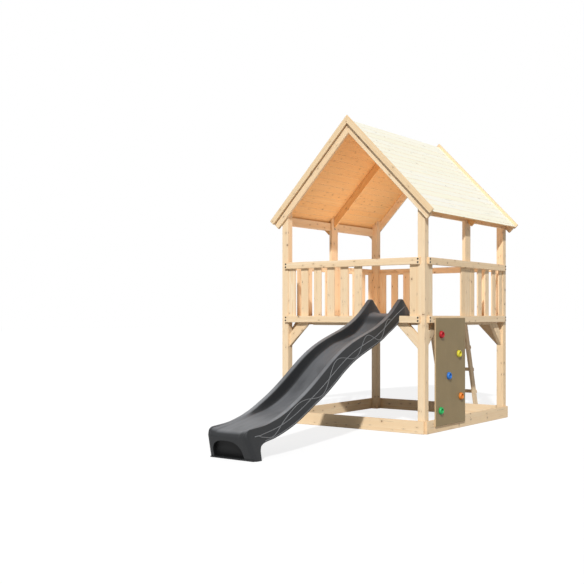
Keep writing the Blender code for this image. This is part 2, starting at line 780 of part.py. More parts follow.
def through(points, at):
    """A smooth curve through (distance, height) points, read at one distance."""
    if at <= points[0][0]:
        return points[0][1]
    if at >= points[-1][0]:
        return points[-1][1]
    last = len(points) - 1
    slopes = []
    for (x0, y0), (x1, y1) in zip(points, points[1:]):
        slopes.append((y1 - y0) / (x1 - x0))
    tangents = [slopes[0]]
    for before, after in zip(slopes, slopes[1:]):
        tangents.append(0.0 if before * after <= 0 else 2 * before * after / (before + after))
    tangents.append(slopes[-1])
    i = max(k for k in range(last) if points[k][0] <= at)
    (x0, y0), (x1, y1) = points[i], points[i + 1]
    span = x1 - x0
    t = (at - x0) / span
    bend = tangents[i] * (t - 2 * t**2 + t**3) + tangents[i + 1] * (t**3 - t**2)
    return y0 + (y1 - y0) * (3 * t**2 - 2 * t**3) + span * bend


# The slide's lines: distances out from the posts' front face, as shares of its reach, and
# heights, as shares of its lip's height
SEAT = FLOOR_TOP + FIT  # where the slide's head rests on the floor
LIP = SEAT + SLIDE_WALL
FACE_OF_SKIRT = RAIL_PROUD
BED_LINE = [
    (-SLIDE_HEAD / SLIDE_REACH, 1.0),
    (-0.0619, 1.0076),
    (-0.0251, 1.0151),
    (0.0125, 1.0015),
    (0.0553, 0.9214),
    (0.1327, 0.8286),
    (0.2098, 0.7865),
    (0.2802, 0.7557),
    (0.3503, 0.7010),
    (0.4200, 0.6295),
    (0.4864, 0.5418),
    (0.5490, 0.4522),
    (0.6117, 0.3755),
    (0.6740, 0.3186),
    (0.7330, 0.2835),
    (0.7883, 0.2653),
    (0.8636, 0.2409),
    (1.0 - NOSE_RADIUS / SLIDE_REACH, NOSE_HEIGHT / LIP),
]
RIM_LINE = [
    (-SLIDE_HEAD / SLIDE_REACH, 1.0030),
    (-0.0700, 1.0711),
    (-0.0455, 1.1170),
    (-0.0375, 1.1335),
    (-0.0300, 1.1395),
    (-0.0225, 1.1370),
    (-0.0140, 1.1235),
    (0.0524, 1.0221),
    (0.1095, 0.9555),
    (0.1851, 0.8905),
    (0.2588, 0.8444),
    (0.3326, 0.7960),
    (0.4027, 0.7378),
    (0.4709, 0.6637),
    (0.5372, 0.5761),
    (0.6018, 0.4899),
    (0.6626, 0.4165),
    (0.7253, 0.3523),
    (0.7824, 0.3001),
    (0.8396, 0.2616),
    (0.8949, 0.2351),
    (1.0 - NOSE_RADIUS / SLIDE_REACH, (NOSE_HEIGHT + NOSE_RIM) / LIP),
]
SKIRT_LINE = [
    ((FACE_OF_SKIRT + FIT) / SLIDE_REACH, 0.9850),
    (0.0147, 0.9500),
    (0.0240, 0.9250),
    (0.0332, 0.9150),
    (0.0708, 0.8735),
    (0.1060, 0.8385),
    (0.1400, 0.8025),
    (0.2035, 0.7492),
    (0.2773, 0.6970),
    (0.3510, 0.6388),
    (0.4211, 0.5647),
    (0.4875, 0.4793),
    (0.5538, 0.3976),
    (0.6165, 0.3326),
    (0.6792, 0.2661),
    (0.7382, 0.2109),
    (0.7972, 0.1682),
    (0.8555, 0.1361),
    (0.9108, 0.1164),
    (1.0 - (LEG_BACK + 0.3 * LEG_BLEND) / SLIDE_REACH, 0.0945),
    (1.0 - (LEG_BACK + FIT) / SLIDE_REACH, 0.0567),
]


def slide_section(run):
    """The slide's heights at one distance out: bed, rim and lower edge of the skirts."""
    lines = (BED_LINE, RIM_LINE, SKIRT_LINE)
    bed, rim, low = [LIP * through(line, run / SLIDE_REACH) for line in lines]
    if run <= FACE_OF_SKIRT:
        low = SEAT
    if run >= SLIDE_REACH - LEG_BACK:
        low = 0.0
    past = run - (SLIDE_REACH - NOSE_RADIUS)
    if past > 0:
        drop = NOSE_RADIUS - math.sqrt(max(NOSE_RADIUS**2 - past**2, 0.0))
        bed, rim = bed - drop, rim - drop
    return bed, rim, max(low, 0.0)


def rim_inside(run):
    """Half the slide's width at the inner edges of its rims, which narrow towards the nose."""
    past = run - (SLIDE_REACH - RIM_NARROWS)
    share = min(max(past / (RIM_NARROWS - NOSE_RADIUS), 0.0), 1.0)
    return RIM_INNER_HALF + share * (RIM_WIDTH - NOSE_RIM_WIDTH)


def slide_outline(run, solid):
    """Half of the slide's cross-section as two lists of (half width, height) points: the top
    surface from the middle outwards, and the underside from the skirt's edge back inwards."""
    bed, rim, low = slide_section(run)
    wall = SLIDE_WALL
    rise = rim - bed
    round_in = min(BED_ROUND, 0.45 * rise)
    round_rim = min(RIM_ROUND, 0.35 * rise)
    bank_low = BED_HALF - 0.4 * BANK_WIDTH
    bank_high = BED_HALF + 0.24 * BANK_WIDTH
    edge = RIM_OUTER_HALF + SKIRT_FLARE * (rim - low)
    half_down = (rim + low) / 2
    half_out = RIM_OUTER_HALF + SKIRT_FLARE * (rim - half_down)
    rim_in = rim_inside(run)
    rim_wide = RIM_OUTER_HALF - rim_in
    top = [
        (0.0, bed),
        (BED_HALF * 0.6, bed),
        (bank_low, bed + 0.2 * round_in),
        (bank_high, bed + round_in),
        (rim_in - 0.08 * rim_wide, rim - round_rim),
        (rim_in + 0.16 * rim_wide, rim - 0.15 * round_rim),
        ((rim_in + RIM_OUTER_HALF) / 2, rim),
        (RIM_OUTER_HALF - 0.12 * rim_wide, rim - 0.15 * round_rim),
        (RIM_OUTER_HALF + SKIRT_FLARE * round_rim, rim - round_rim),
        (half_out, half_down),
        (edge, low),
    ]
    tuck = min(1.5 * wall, (rim - low) * 0.4)
    under = [
        (edge - wall, low),
        (half_out - wall, half_down),
        (RIM_OUTER_HALF - wall, rim - tuck),
        (rim_in + wall, rim - tuck),
        (bank_high + wall, bed + round_in - wall),
        (bank_low + 0.3 * wall, bed - 0.8 * wall),
        (BED_HALF * 0.6, bed - wall),
        (0.0, bed - wall),
    ]
    if solid:
        return top, [(x, low) for x, _ in under]
    return top, [(x, max(z, low)) for x, z in under]


def lean_at(z):
    """The nose leans: its foot stands back under its top."""
    return NOSE_LEAN * (1.0 - min(z / (NOSE_HEIGHT + NOSE_RIM - NOSE_RADIUS), 1.0))


def lean_back(run, z):
    """Where a point of the slide's outline lands once the nose's lean is given to it."""
    past_leg = run - (SLIDE_REACH - LEG_BACK)
    share = min(max(past_leg / (LEG_BACK - NOSE_PLATE), 0.0), 1.0)
    return run - share * lean_at(z)


def slide_runs():
    """The distances out at which the slide's cross-section is drawn."""
    shares = (1.0, 0.90, 0.78, 0.64, 0.51, 0.46, 0.41, 0.32, 0.23, 0.18, 0.13, 0.02)
    runs = [-SLIDE_HEAD * share for share in shares]
    runs += [FACE_OF_SKIRT, FACE_OF_SKIRT + FIT]
    runs += [runs[-1] + 0.25 * HEAD_CURVE, runs[-1] + 0.6 * HEAD_CURVE, runs[-1] + HEAD_CURVE]
    start = runs[-1]
    leg = SLIDE_REACH - LEG_BACK
    plate = SLIDE_REACH - NOSE_PLATE
    length = leg - LEG_BLEND - start
    steps = round(length / SLIDE_STEP)
    runs += [start + length * k / steps for k in range(1, steps + 1)]
    runs += [leg - 0.5 * LEG_BLEND, leg - 0.2 * LEG_BLEND, leg - FIT, leg, (leg + plate) / 2]
    return runs + [plate - FIT]


def nose_runs():
    start = SLIDE_REACH - NOSE_RADIUS
    arcs = [math.sin(math.radians(a)) * NOSE_RADIUS for a in (0, 18, 36, 54, 72, 90)]
    return [SLIDE_REACH - NOSE_PLATE] + [start + arc for arc in arcs]


def add_loft(shape, sections):
    """A closed body through equal rings of points, capped at both ends."""
    rings = [[shape.verts.new(spot) for spot in section] for section in sections]
    count = len(rings[0])
    shape.faces.new(rings[0])
    shape.faces.new(rings[-1])
    for near, far in zip(rings, rings[1:]):
        for i in range(count):
            j = (i + 1) % count
            shape.faces.new((near[i], near[j], far[j], far[i]))


def slide_ring(run, solid):
    top, under = slide_outline(run, solid)
    past = max(run - (SLIDE_REACH - NOSE_CORNER), 0.0)
    corner = NOSE_CORNER - math.sqrt(max(NOSE_CORNER**2 - past**2, 0.0))
    drawn_in = 1.0 - corner / RIM_OUTER_HALF
    half = [(x * drawn_in, z) for x, z in top + under]
    mirrored = [(-x, z) for x, z in half[-2:0:-1]]
    ring = []
    for x, z in half + mirrored:
        ring.append(Vector((SLIDE_MIDDLE + x, -HALF_DEPTH - lean_back(run, z), z)))
    return ring


def make_slide():
    def fill(shape):
        shell = [slide_ring(run, False) for run in slide_runs()]
        nose = [slide_ring(run, True) for run in nose_runs()]
        add_loft(shape, shell + nose)

    def fill_toe(shape):
        foot = SLIDE_REACH - NOSE_LEAN
        half = RIM_OUTER_HALF + SKIRT_FLARE * NOSE_HEIGHT - NOSE_CORNER / 2
        near, far = -HALF_DEPTH - foot - TOE_REACH, -HALF_DEPTH - foot + NOSE_PLATE / 2
        low = (SLIDE_MIDDLE - half, near, 0.0)
        add_block(shape, low, (SLIDE_MIDDLE + half, far, TOE_THICK))

    def fill_arch(shape):
        middle = SLIDE_MIDDLE + ARCH_SHIFT
        count = 14
        foot = TOE_THICK + ARCH_SILL
        outline = [(middle + ARCH_HALF, foot), (middle - ARCH_HALF, foot)]
        for k in range(1, count):
            angle = math.pi * (1 - k / count)
            flat = math.copysign(abs(math.cos(angle)) ** 0.75, math.cos(angle))
            rise = math.sin(angle) ** 0.75
            outline.append((middle + ARCH_HALF * flat, foot + ARCH_HEIGHT * rise))

        def place(a, b, c):
            return Vector((a, -HALF_DEPTH - SLIDE_REACH + lean_at(b) + c, b))

        add_prism(shape, outline, place, -NOSE_PLATE, ARCH_DEPTH)

    def fill_screws(shape):
        run = -SLIDE_HEAD + SLIDE_SCREW_BACK
        height = slide_section(run)[0]
        profile = [
            (SLIDE_SCREW_HEAD, -BOLT_SINK),
            (SLIDE_SCREW_HEAD, SLIDE_SCREW_HEIGHT * 0.5),
            (SLIDE_SCREW_HEAD * 0.6, SLIDE_SCREW_HEIGHT),
        ]
        for sign in (-1, 1):
            spot = Vector((SLIDE_MIDDLE + sign * SLIDE_SCREW_OFFSET, -HALF_DEPTH - run, height))
            add_turned(shape, profile, ROUND_SIDES, facing(Vector((0, 0, 1)), spot))

    slide = make_piece("slide", fill, PLASTIC_GREY, 0.42, 0.0, smooth=True)
    carve(slide, make_cutter("slide_toe", fill_toe), "UNION")
    carve(slide, make_cutter("nose_arch", fill_arch))
    carve(slide, make_cutter("slide_screws", fill_screws), "UNION")


def main():
    clear_scene()
    middle = bpy.data.objects.new("tower_middle", None)
    bpy.context.scene.collection.objects.link(middle)
    middle.location = (0.0, ORIGIN_SHIFT, 0.0)
    make_posts()
    make_base_boards()
    make_skirt_boards()
    make_railings()
    make_knee_braces()
    make_floor_frame()
    make_floor_boards()
    make_mid_posts()
    make_eaves_beams()
    make_rafters()
    make_barge_boards()
    make_roof_boards()
    make_ladder()
    make_climbing_panel()
    make_holds()
    make_slide()


main()
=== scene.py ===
# %% [markdown]
# # A wooden play tower, dressed for the camera
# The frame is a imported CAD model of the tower: posts, rails, boards, roof, ladder, climbing
# panel and slide, all in metres and all in their real places. This lesson gives that frame its
# looks. Every board becomes a piece of sawn pine with eased edges and its own grain, whatever
# repeats is laid out by Geometry Nodes, and the slide is drawn again with smooth, full curves.

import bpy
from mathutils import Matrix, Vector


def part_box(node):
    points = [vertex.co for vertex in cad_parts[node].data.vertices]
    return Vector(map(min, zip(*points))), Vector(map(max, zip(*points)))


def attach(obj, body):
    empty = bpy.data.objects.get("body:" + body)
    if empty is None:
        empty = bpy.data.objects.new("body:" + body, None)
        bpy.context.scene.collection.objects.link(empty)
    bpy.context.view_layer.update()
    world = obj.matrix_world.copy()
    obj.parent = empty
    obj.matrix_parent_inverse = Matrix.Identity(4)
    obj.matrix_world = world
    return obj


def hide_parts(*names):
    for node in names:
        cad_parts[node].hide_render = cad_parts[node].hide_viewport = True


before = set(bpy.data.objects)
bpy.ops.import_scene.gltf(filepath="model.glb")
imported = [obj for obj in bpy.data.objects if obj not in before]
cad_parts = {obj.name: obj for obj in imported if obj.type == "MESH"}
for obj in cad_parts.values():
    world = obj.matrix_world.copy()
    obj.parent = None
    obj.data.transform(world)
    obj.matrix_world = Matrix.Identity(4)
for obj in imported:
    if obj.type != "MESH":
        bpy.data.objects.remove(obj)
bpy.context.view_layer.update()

import math

import bmesh
import bpy
from mathutils import Matrix, Vector

X, Y, Z = Vector((1, 0, 0)), Vector((0, 1, 0)), Vector((0, 0, 1))
print("nodes in the frame:", len(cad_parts))

# %% [markdown]
# ## Writing node trees as sums
# A material or a Geometry Nodes tree is a graph, but most of it is plain arithmetic. It could be
# clicked together node by node, or written with a long list of links. Here a small class wraps
# one socket, so that an ordinary Python sum adds the Math nodes, and one method adds every other
# kind of node: its type, the values or wires of its sockets, then its settings by name.

# %% The wire class
class Wire:
    """One value in a node tree. Sums on it add Math nodes, and node() adds any other node."""

    def __init__(self, tree, socket=None):
        self.tree = tree
        self.socket = socket

    def node(self, kind, inputs=None, out=0, **settings):
        made = self.tree.nodes.new(kind)
        for name, value in settings.items():
            setattr(made, name, value)
        for name, value in (inputs or {}).items():
            self.plug(made.inputs[name], value)
        return Wire(self.tree, made.outputs[out])

    def plug(self, socket, value):
        if isinstance(value, Wire):
            self.tree.links.new(value.socket, socket)
        elif socket.type == "RGBA" and len(value) == 3:
            socket.default_value = (*value, 1.0)
        else:
            socket.default_value = value

    def out(self, name):
        """Another output of the same node."""
        return Wire(self.tree, self.socket.node.outputs[name])

    def maths(self, operation, *values):
        return self.node("ShaderNodeMath", dict(enumerate(values)), operation=operation)

    def __add__(self, other):
        return self.maths("ADD", self, other)

    __radd__ = __add__

    def __sub__(self, other):
        return self.maths("SUBTRACT", self, other)

    def __mul__(self, other):
        return self.maths("MULTIPLY", self, other)

    __rmul__ = __mul__

    def __truediv__(self, other):
        return self.maths("DIVIDE", self, other)

    def __pow__(self, other):
        return self.maths("POWER", self, other)

    def least(self, other):
        return self.maths("MINIMUM", self, other)

    def most(self, other):
        return self.maths("MAXIMUM", self, other)

    def size(self):
        return self.maths("ABSOLUTE", self)

    def fraction(self):
        return self.maths("FRACT", self)

    def sine(self):
        return self.maths("SINE", self)

    def step(self, start, end, low=0.0, high=1.0):
        """A smooth step from low to high as the value goes from start to end."""
        inputs = {"Value": self, "From Min": start, "From Max": end}
        inputs.update({"To Min": low, "To Max": high})
        return self.node("ShaderNodeMapRange", inputs, interpolation_type="SMOOTHSTEP")

    def towards(self, colour, share):
        """This colour mixed towards another one."""
        inputs = {0: share, 6: self, 7: colour}
        return self.node("ShaderNodeMix", inputs, 2, data_type="RGBA")

    def vector(self, operation, other):
        return self.node("ShaderNodeVectorMath", {0: self, 1: other}, operation=operation)

    def parts(self):
        split = self.node("ShaderNodeSeparateXYZ", {0: self})
        return split, split.out("Y"), split.out("Z")

    def spot(self):
        """The place on the piece, in metres."""
        return self.node("ShaderNodeTexCoord", out="Object")

    def noise(self, scale, detail=2.0, roughness=0.5):
        """Noise at this place, which is first scaled by (x, y, z) or by one number."""
        place = self.vector("MULTIPLY", scale if isinstance(scale, tuple) else (scale,) * 3)
        inputs = {"Vector": place, "Scale": 1.0, "Detail": detail, "Roughness": roughness}
        return self.node("ShaderNodeTexNoise", inputs)

    def paint(self, colour, *coats):
        """A plain colour with coats over it, each a colour and the share that it covers."""
        painted = self.node("ShaderNodeRGB")
        painted.socket.default_value = (*colour, 1.0)
        for coat, share in coats:
            painted = painted.towards(coat, share)
        return painted


def start_finish(name):
    """A new material: itself, a wire to write sums from, and its shader."""
    finish = bpy.data.materials.new(name)
    finish.use_nodes = True
    tree = finish.node_tree
    return finish, Wire(tree), tree.nodes["Principled BSDF"]


def show(start, shader, colour, roughness, height=None, deep=0.0005, strength=0.5):
    """Feed the shader: a colour, a roughness and a height that becomes bump."""
    start.plug(shader.inputs["Base Color"], colour)
    start.plug(shader.inputs["Roughness"], roughness)
    if height is not None:
        inputs = {"Height": height, "Distance": deep, "Strength": strength}
        start.plug(shader.inputs["Normal"], start.node("ShaderNodeBump", inputs))


print("ready to write node trees")

# %% [markdown]
# ## Sawn pine
# Real boards are cut from a log, so their grain is a slice through nested rings, stretched along
# the trunk, and bent round the knots where branches grew. A flat picture of wood would run out at
# the ends and slide round the corners. This finish is solid instead: each board carries three
# attributes, its own coordinates (grain), half its size (half) and a number that tells it from its
# neighbours (board), and the shader works out the rings, knots, streaks and small drying cracks
# from those, so that the end grain and the faces agree.

# %% The pine finishes
RING = 0.0068  # spacing of the year rings, m
KNOTS_ALONG, KNOTS_ROUND = 6.5, 1.3  # cells that may hold a knot, for a metre and for a radian


def make_pine(name, pale, late, heart, knot, roughness=0.62, knots=0.36, contrast=1.0):
    finish, start, shader = start_finish(name)
    grain = start.node("ShaderNodeAttribute", out="Vector", attribute_name="grain")
    half = start.node("ShaderNodeAttribute", out="Vector", attribute_name="half")
    board = start.node("ShaderNodeAttribute", out="Fac", attribute_name="board")
    draw = start.node("ShaderNodeTexWhiteNoise", {"W": board}, "Color", noise_dimensions="1D")
    draw_a, draw_b, draw_c = draw.parts()
    inputs = {0: (37.0, 11.0, 5.0), "Scale": board}
    place = grain.vector("ADD", start.node("ShaderNodeVectorMath", inputs, operation="SCALE"))

    length, across, through = grain.parts()
    off_y = across - (draw_a - 0.5) * 0.10
    off_z = through + 0.030 + draw_b * 0.060
    round_log = off_y.maths("ARCTAN2", off_y, off_z)
    round_board = board * 170.0
    inputs = {"X": length * KNOTS_ALONG + board * 410.0, "Y": round_log * KNOTS_ROUND + round_board}
    inputs = {"Vector": start.node("ShaderNodeCombineXYZ", inputs), "Scale": 1.0}
    voronoi = start.node("ShaderNodeTexVoronoi", inputs, "Distance", voronoi_dimensions="2D")
    chance, girth, _ = voronoi.out("Color").parts()
    there = chance.step(knots, knots + 0.02, 1.0, 0.0)
    radius = 0.030 + 0.032 * girth
    off_knot = voronoi / radius
    knot_mask = off_knot.step(0.75, 1.1, 1.0, 0.0) * there
    knot_rim = off_knot.step(0.7, 1.0) * off_knot.step(1.0, 1.5, 1.0, 0.0) * there
    bulge = voronoi.step(0.02, 0.30, 1.0, 0.0) * there

    sway = place.noise((1.1, 7.0, 7.0)) - 0.5
    rings = (off_y * off_y + off_z * off_z) ** 0.5 + sway * 0.018 + bulge * 0.009
    ring = (rings / RING).fraction()
    late_wood = ring.step(0.30, 0.92) * ring.step(0.93, 1.0, 1.0, 0.0) * contrast
    streak = place.noise((0.7, 30.0, 30.0), 3.0, 0.6).step(0.40, 0.66) * contrast
    blotch = place.noise((2.2, 9.0, 9.0))
    fibre = place.noise((14.0, 620.0, 620.0))
    crack = place.noise((2.6, 150.0, 150.0), 1.0).step(0.73, 0.77)

    room = half.vector("SUBTRACT", grain.vector("ABSOLUTE", (0, 0, 0)))
    room_x, room_y, room_z = room.parts()
    edge = room_x.least(room_y).most(room_x.most(room_y).least(room_z))
    worn = (edge + fibre * 0.003).step(0.0015, 0.0045, 1.0, 0.0)
    sawn_end = room_x.step(0.0, 0.0012, 1.0, 0.0)

    colour = start.paint(
        pale,
        (heart, draw_c * 0.42 + blotch * 0.25),
        (late, late_wood * 0.50),
        (heart, streak * 0.50),
        (late, fibre.step(0.55, 0.75) * 0.20),
        (knot, bulge * 0.22),
        (knot, knot_mask * 0.92),
        ([c * 0.45 for c in knot], knot_rim * 0.75),
        ([c * 0.35 for c in knot], crack * 0.55),
        ([0.5 + 0.5 * c for c in pale], worn * 0.22),
        (late, sawn_end * 0.45),
    )
    rough = roughness + fibre * 0.16 - late_wood * 0.10 - knot_mask * 0.14
    height = fibre * 0.45 + late_wood * 0.35 - crack * 1.4 - knot_rim * 0.5 + knot_mask * 0.3
    show(start, shader, colour, rough, height, 0.0007, 0.55)
    shader.inputs["Specular IOR Level"].default_value = 0.35
    return finish


KNOT = (0.20, 0.085, 0.030)
PINE = make_pine("sawn_pine", (0.90, 0.746, 0.532), (0.77, 0.50, 0.253), (0.83, 0.60, 0.355), KNOT)
# The roof's pine is pale and lifted almost to white: painted sunlight on the roof's tops.
SUNLIT_ROOF_PINE = make_pine(
    "painted_sunlight_pine", (0.97, 0.96, 0.91), (0.96, 0.89, 0.61), (0.98, 0.94, 0.71), KNOT, 0.62, 0.05, 0.7
)
# A deep orange copy of the pine for faces in shade under the roof: painted warm bounce light.
BOUNCE_LIT_PINE = make_pine(
    "painted_bounce_pine", (0.94, 0.60, 0.27), (0.80, 0.41, 0.145), (0.90, 0.52, 0.20), KNOT, 0.62, 0.30
)
# The deck wears a deeper orange copy of the pine: painted warm shade under the roof, which also warms
# the light that the deck throws up.
SHADED_DECK_PINE = make_pine(
    "painted_shade_deck_pine", (0.84, 0.56, 0.29), (0.66, 0.36, 0.14), (0.75, 0.44, 0.18), KNOT, 0.58, 0.40
)
GABLE_PINE = make_pine("gable_pine", (0.87, 0.71, 0.49), (0.74, 0.48, 0.24), (0.80, 0.585, 0.34), KNOT)
print("finishes:", PINE.name, SUNLIT_ROOF_PINE.name, SHADED_DECK_PINE.name)

# %% [markdown]
# ## Boards with eased edges
# A planed board never has a knife edge: its corners are eased by a few millimetres, and that thin
# round is what catches the light. Where a CAD node already has the right shape, its mesh is copied,
# its loose triangles are merged into whole faces and its long edges are bevelled. A plain board
# is made from its three sizes. Both get the three attributes that the pine finish reads.

# %% Helpers for boards
GOLDEN = 0.6180339  # steps of this share never come close to repeating
SHARP, FLAT = math.radians(25.0), math.radians(0.5)  # eased from here, merged away up to here
SAME_SPOT = 0.00005  # vertices closer than this are one
made_boards = 0


def next_board():
    """A number for each board, spread evenly so that neighbours differ."""
    global made_boards
    made_boards += 1
    return (made_boards * GOLDEN) % 1.0


def ease(shape, arris, shortest=0.012, segments=2):
    """Round every long, sharp edge."""
    sharp = []
    for edge in shape.edges:
        if len(edge.link_faces) == 2 and edge.calc_length() > shortest:
            if edge.calc_face_angle(0.0) > SHARP:
                sharp.append(edge)
    bmesh.ops.bevel(
        shape, geom=sharp, offset=arris, segments=segments, affect="EDGES", clamp_overlap=True
    )


def shape_to_mesh(shape, name):
    bmesh.ops.recalc_face_normals(shape, faces=shape.faces)
    mesh = bpy.data.meshes.new(name)
    shape.to_mesh(mesh)
    shape.free()
    return mesh


def add_grain(mesh, along, across, number=None):
    """Give a board its own coordinates: along its length, across its face, through it."""
    through = along.cross(across)
    turn = Matrix((along, across, through))
    spots = [turn @ v.co for v in mesh.vertices]
    low = Vector([min(s[i] for s in spots) for i in range(3)])
    high = Vector([max(s[i] for s in spots) for i in range(3)])
    middle, half = (low + high) / 2, (high - low) / 2
    grain = mesh.attributes.new("grain", "FLOAT_VECTOR", "POINT")
    grain.data.foreach_set("vector", [c for s in spots for c in s - middle])
    size = mesh.attributes.new("half", "FLOAT_VECTOR", "POINT")
    size.data.foreach_set("vector", list(half) * len(spots))
    if number is not None:
        board = mesh.attributes.new("board", "FLOAT", "POINT")
        board.data.foreach_set("value", [number] * len(spots))
    return mesh


def add_object(name, data):
    made = bpy.data.objects.new(name, data)
    bpy.context.scene.collection.objects.link(made)
    return made


def finish_piece(name, mesh, finishes, nodes=()):
    """Put a mesh in the scene as a piece that rides on the frame. Clearing the old finishes also
    forgets which face wore which, so those numbers are kept and set again."""
    worn_by = [min(face.material_index, len(finishes) - 1) for face in mesh.polygons]
    mesh.materials.clear()
    for finish in finishes:
        mesh.materials.append(finish)
    mesh.polygons.foreach_set("material_index", worn_by)
    piece = add_object(name, mesh)
    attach(piece, "root")
    if nodes:
        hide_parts(*nodes)


def add_box(shape, size, middle=(0, 0, 0), turn=Matrix.Identity(4)):
    place = Matrix.Translation(middle) @ turn @ Matrix.Diagonal((*size, 1.0))
    bmesh.ops.create_cube(shape, size=1.0, matrix=place)


def plain_board(name, size, arris=0.0025):
    """A board lying along X, its width along Y, its middle at the origin."""
    shape = bmesh.new()
    add_box(shape, size)
    ease(shape, arris, 0.0)
    return add_grain(shape_to_mesh(shape, name), X, Y)


def merged_copy(node):
    """A copy of a node's mesh, with its loose triangles merged into whole, flat faces."""
    shape = bmesh.new()
    shape.from_mesh(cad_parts[node].data)
    bmesh.ops.remove_doubles(shape, verts=shape.verts, dist=SAME_SPOT)
    bmesh.ops.dissolve_limit(shape, angle_limit=FLAT, verts=shape.verts, edges=shape.edges)
    return shape


def copied_board(node, along, across, arris):
    """A node's own shape with eased edges and its grain along the given way."""
    shape = merged_copy(node)
    ease(shape, arris)
    return add_grain(shape_to_mesh(shape, node + "_board"), along, across, next_board())


print("board helpers ready")

# %% [markdown]
# ## Posts, beams and braces
# These are single timbers whose CAD shape is already right: housings for the rails, tongues and
# slots for the roof. What differs is only the way that their grain runs, so one table gives each
# node its length and its face, and one loop dresses them all.

# %% Single timbers
ALONG = {"front": X, "back": X, "left": Y, "right": Y}
SIGN = {"front": -1, "back": 1, "left": -1, "right": 1}
PITCH, DIAGONAL = math.radians(46.0), math.radians(45.0)
SLOPE = {s: Vector((SIGN[s] * math.cos(PITCH), 0, -math.sin(PITCH))) for s in ("left", "right")}
STOUT_ARRIS, SLOPE_ARRIS, HIDDEN_ARRIS = 0.003, 0.0025, 0.002
LADDER_RAIL_DEPTH = 0.093  # measured level, front to back

timbers = {}
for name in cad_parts:
    words = name.split("_")
    if name.startswith("post_"):
        timbers[name] = (Z, X, STOUT_ARRIS)
    elif name.startswith("mid_post_"):
        timbers[name] = (Z, Y, STOUT_ARRIS)
    elif name.startswith("base_board_"):
        timbers[name] = (ALONG[words[-1]], Z, STOUT_ARRIS)
    elif name.startswith("knee_brace_"):
        level = ALONG[words[2]] * SIGN[words[3]]
        along = level * -math.cos(DIAGONAL) + Z * math.sin(DIAGONAL)
        timbers[name] = (along, along.cross(level.cross(Z)), STOUT_ARRIS)
    elif name.startswith(("floor_beam_", "eaves_beam_")):
        timbers[name] = (ALONG[words[-1]], Z, HIDDEN_ARRIS)
    elif name.startswith("floor_joist_"):
        timbers[name] = (Y, Z, HIDDEN_ARRIS)
    elif name.startswith(("rafter_", "barge_board_")):
        timbers[name] = (SLOPE[words[-1]], SLOPE[words[-1]].cross(Y), SLOPE_ARRIS)
    elif name.startswith("ladder_rail_"):
        foot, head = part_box(name)
        lean = Vector((0, foot.y + LADDER_RAIL_DEPTH - head.y, head.z - foot.z)).normalized()
        timbers[name] = (lean, lean.cross(X), STOUT_ARRIS)

for name, (along, across, arris) in timbers.items():
    finish, slot = PINE, "pine"
    if name.startswith("barge_board_"):
        finish, slot = GABLE_PINE, "pine_pale"
    # The middle rafters, in shade under the roof, wear the orange pine too: painted bounce light.
    if name.startswith("rafter_middle_"):
        finish = BOUNCE_LIT_PINE
    mesh = copied_board(name, along, across, arris)
    finish_piece("timber_" + name, mesh, [finish], [name])
print("single timbers:", len(timbers))

# %% [markdown]
# ## Rows of boards
# Slats, floor boards, roof boards and rungs all repeat at a fixed step. They could be placed one
# by one in Python, but a row is a rule: a board, a count and a step. This Geometry Nodes tree lays
# out such a row, gives each board a number of its own and a hair of unevenness, and joins it
# to the rows that came before, so that one piece can stack several rows.

# %% The row tree
def new_tree(name, **inputs):
    """An empty Geometry Nodes tree with named inputs: the tree, a wire for each input, the exit."""
    tree = bpy.data.node_groups.new(name, "GeometryNodeTree")
    for label, kind in {"Geometry": "Geometry", **inputs}.items():
        tree.interface.new_socket(name=label, in_out="INPUT", socket_type="NodeSocket" + kind)
    tree.interface.new_socket(name="Geometry", in_out="OUTPUT", socket_type="NodeSocketGeometry")
    entry, exit_node = tree.nodes.new("NodeGroupInput"), tree.nodes.new("NodeGroupOutput")
    return tree, {s.name: Wire(tree, s) for s in entry.outputs if s.name}, exit_node


def real_shape(copies, finish):
    """The copies made real and given their finish."""
    real = copies.node("GeometryNodeRealizeInstances", {0: copies})
    return copies.node("GeometryNodeSetMaterial", {0: real, "Material": finish})


def make_row_tree():
    tree, given, exit_node = new_tree(
        "row_of_boards", Board="Object", Count="Int", Start="Vector", Step="Vector",
        Turn="Rotation", Unevenness="Vector", Seed="Int", Finish="Material",
    )
    start, seed, uneven = given["Geometry"], given["Seed"], given["Unevenness"]
    inputs = {"Count": given["Count"], "Start Location": given["Start"], "Offset": given["Step"]}
    line = start.node("GeometryNodeMeshLine", inputs, mode="OFFSET", count_mode="TOTAL")
    board = start.node("GeometryNodeObjectInfo", {"Object": given["Board"]}, "Geometry")
    inputs = {"Points": line, "Instance": board, "Rotation": given["Turn"]}
    laid = start.node("GeometryNodeInstanceOnPoints", inputs)
    inputs = {0: uneven.vector("MULTIPLY", (-1.0, -1.0, -1.0)), 1: uneven, "Seed": seed}
    nudge = start.node("FunctionNodeRandomValue", inputs, data_type="FLOAT_VECTOR")
    inputs = {"Instances": laid, "Translation": nudge, "Local Space": False}
    laid = start.node("GeometryNodeTranslateInstances", inputs)
    number = start.node("FunctionNodeRandomValue", {"Seed": seed}, 1, data_type="FLOAT")
    inputs = {"Geometry": laid, "Name": "board", "Value": number}
    kind = {"data_type": "FLOAT", "domain": "INSTANCE"}
    laid = start.node("GeometryNodeStoreNamedAttribute", inputs, **kind)
    joined = start.node("GeometryNodeJoinGeometry", {0: real_shape(laid, given["Finish"])})
    tree.links.new(start.socket, joined.socket.node.inputs[0])
    tree.links.new(joined.socket, exit_node.inputs[0])
    return tree


def add_tree(piece, tree, values):
    """Put a tree on a piece and set its named inputs by their identifiers."""
    change = piece.modifiers.new(tree.name, "NODES")
    change.node_group = tree
    for item in tree.interface.items_tree:
        if item.in_out == "INPUT" and item.name in values:
            change[item.identifier] = values[item.name]


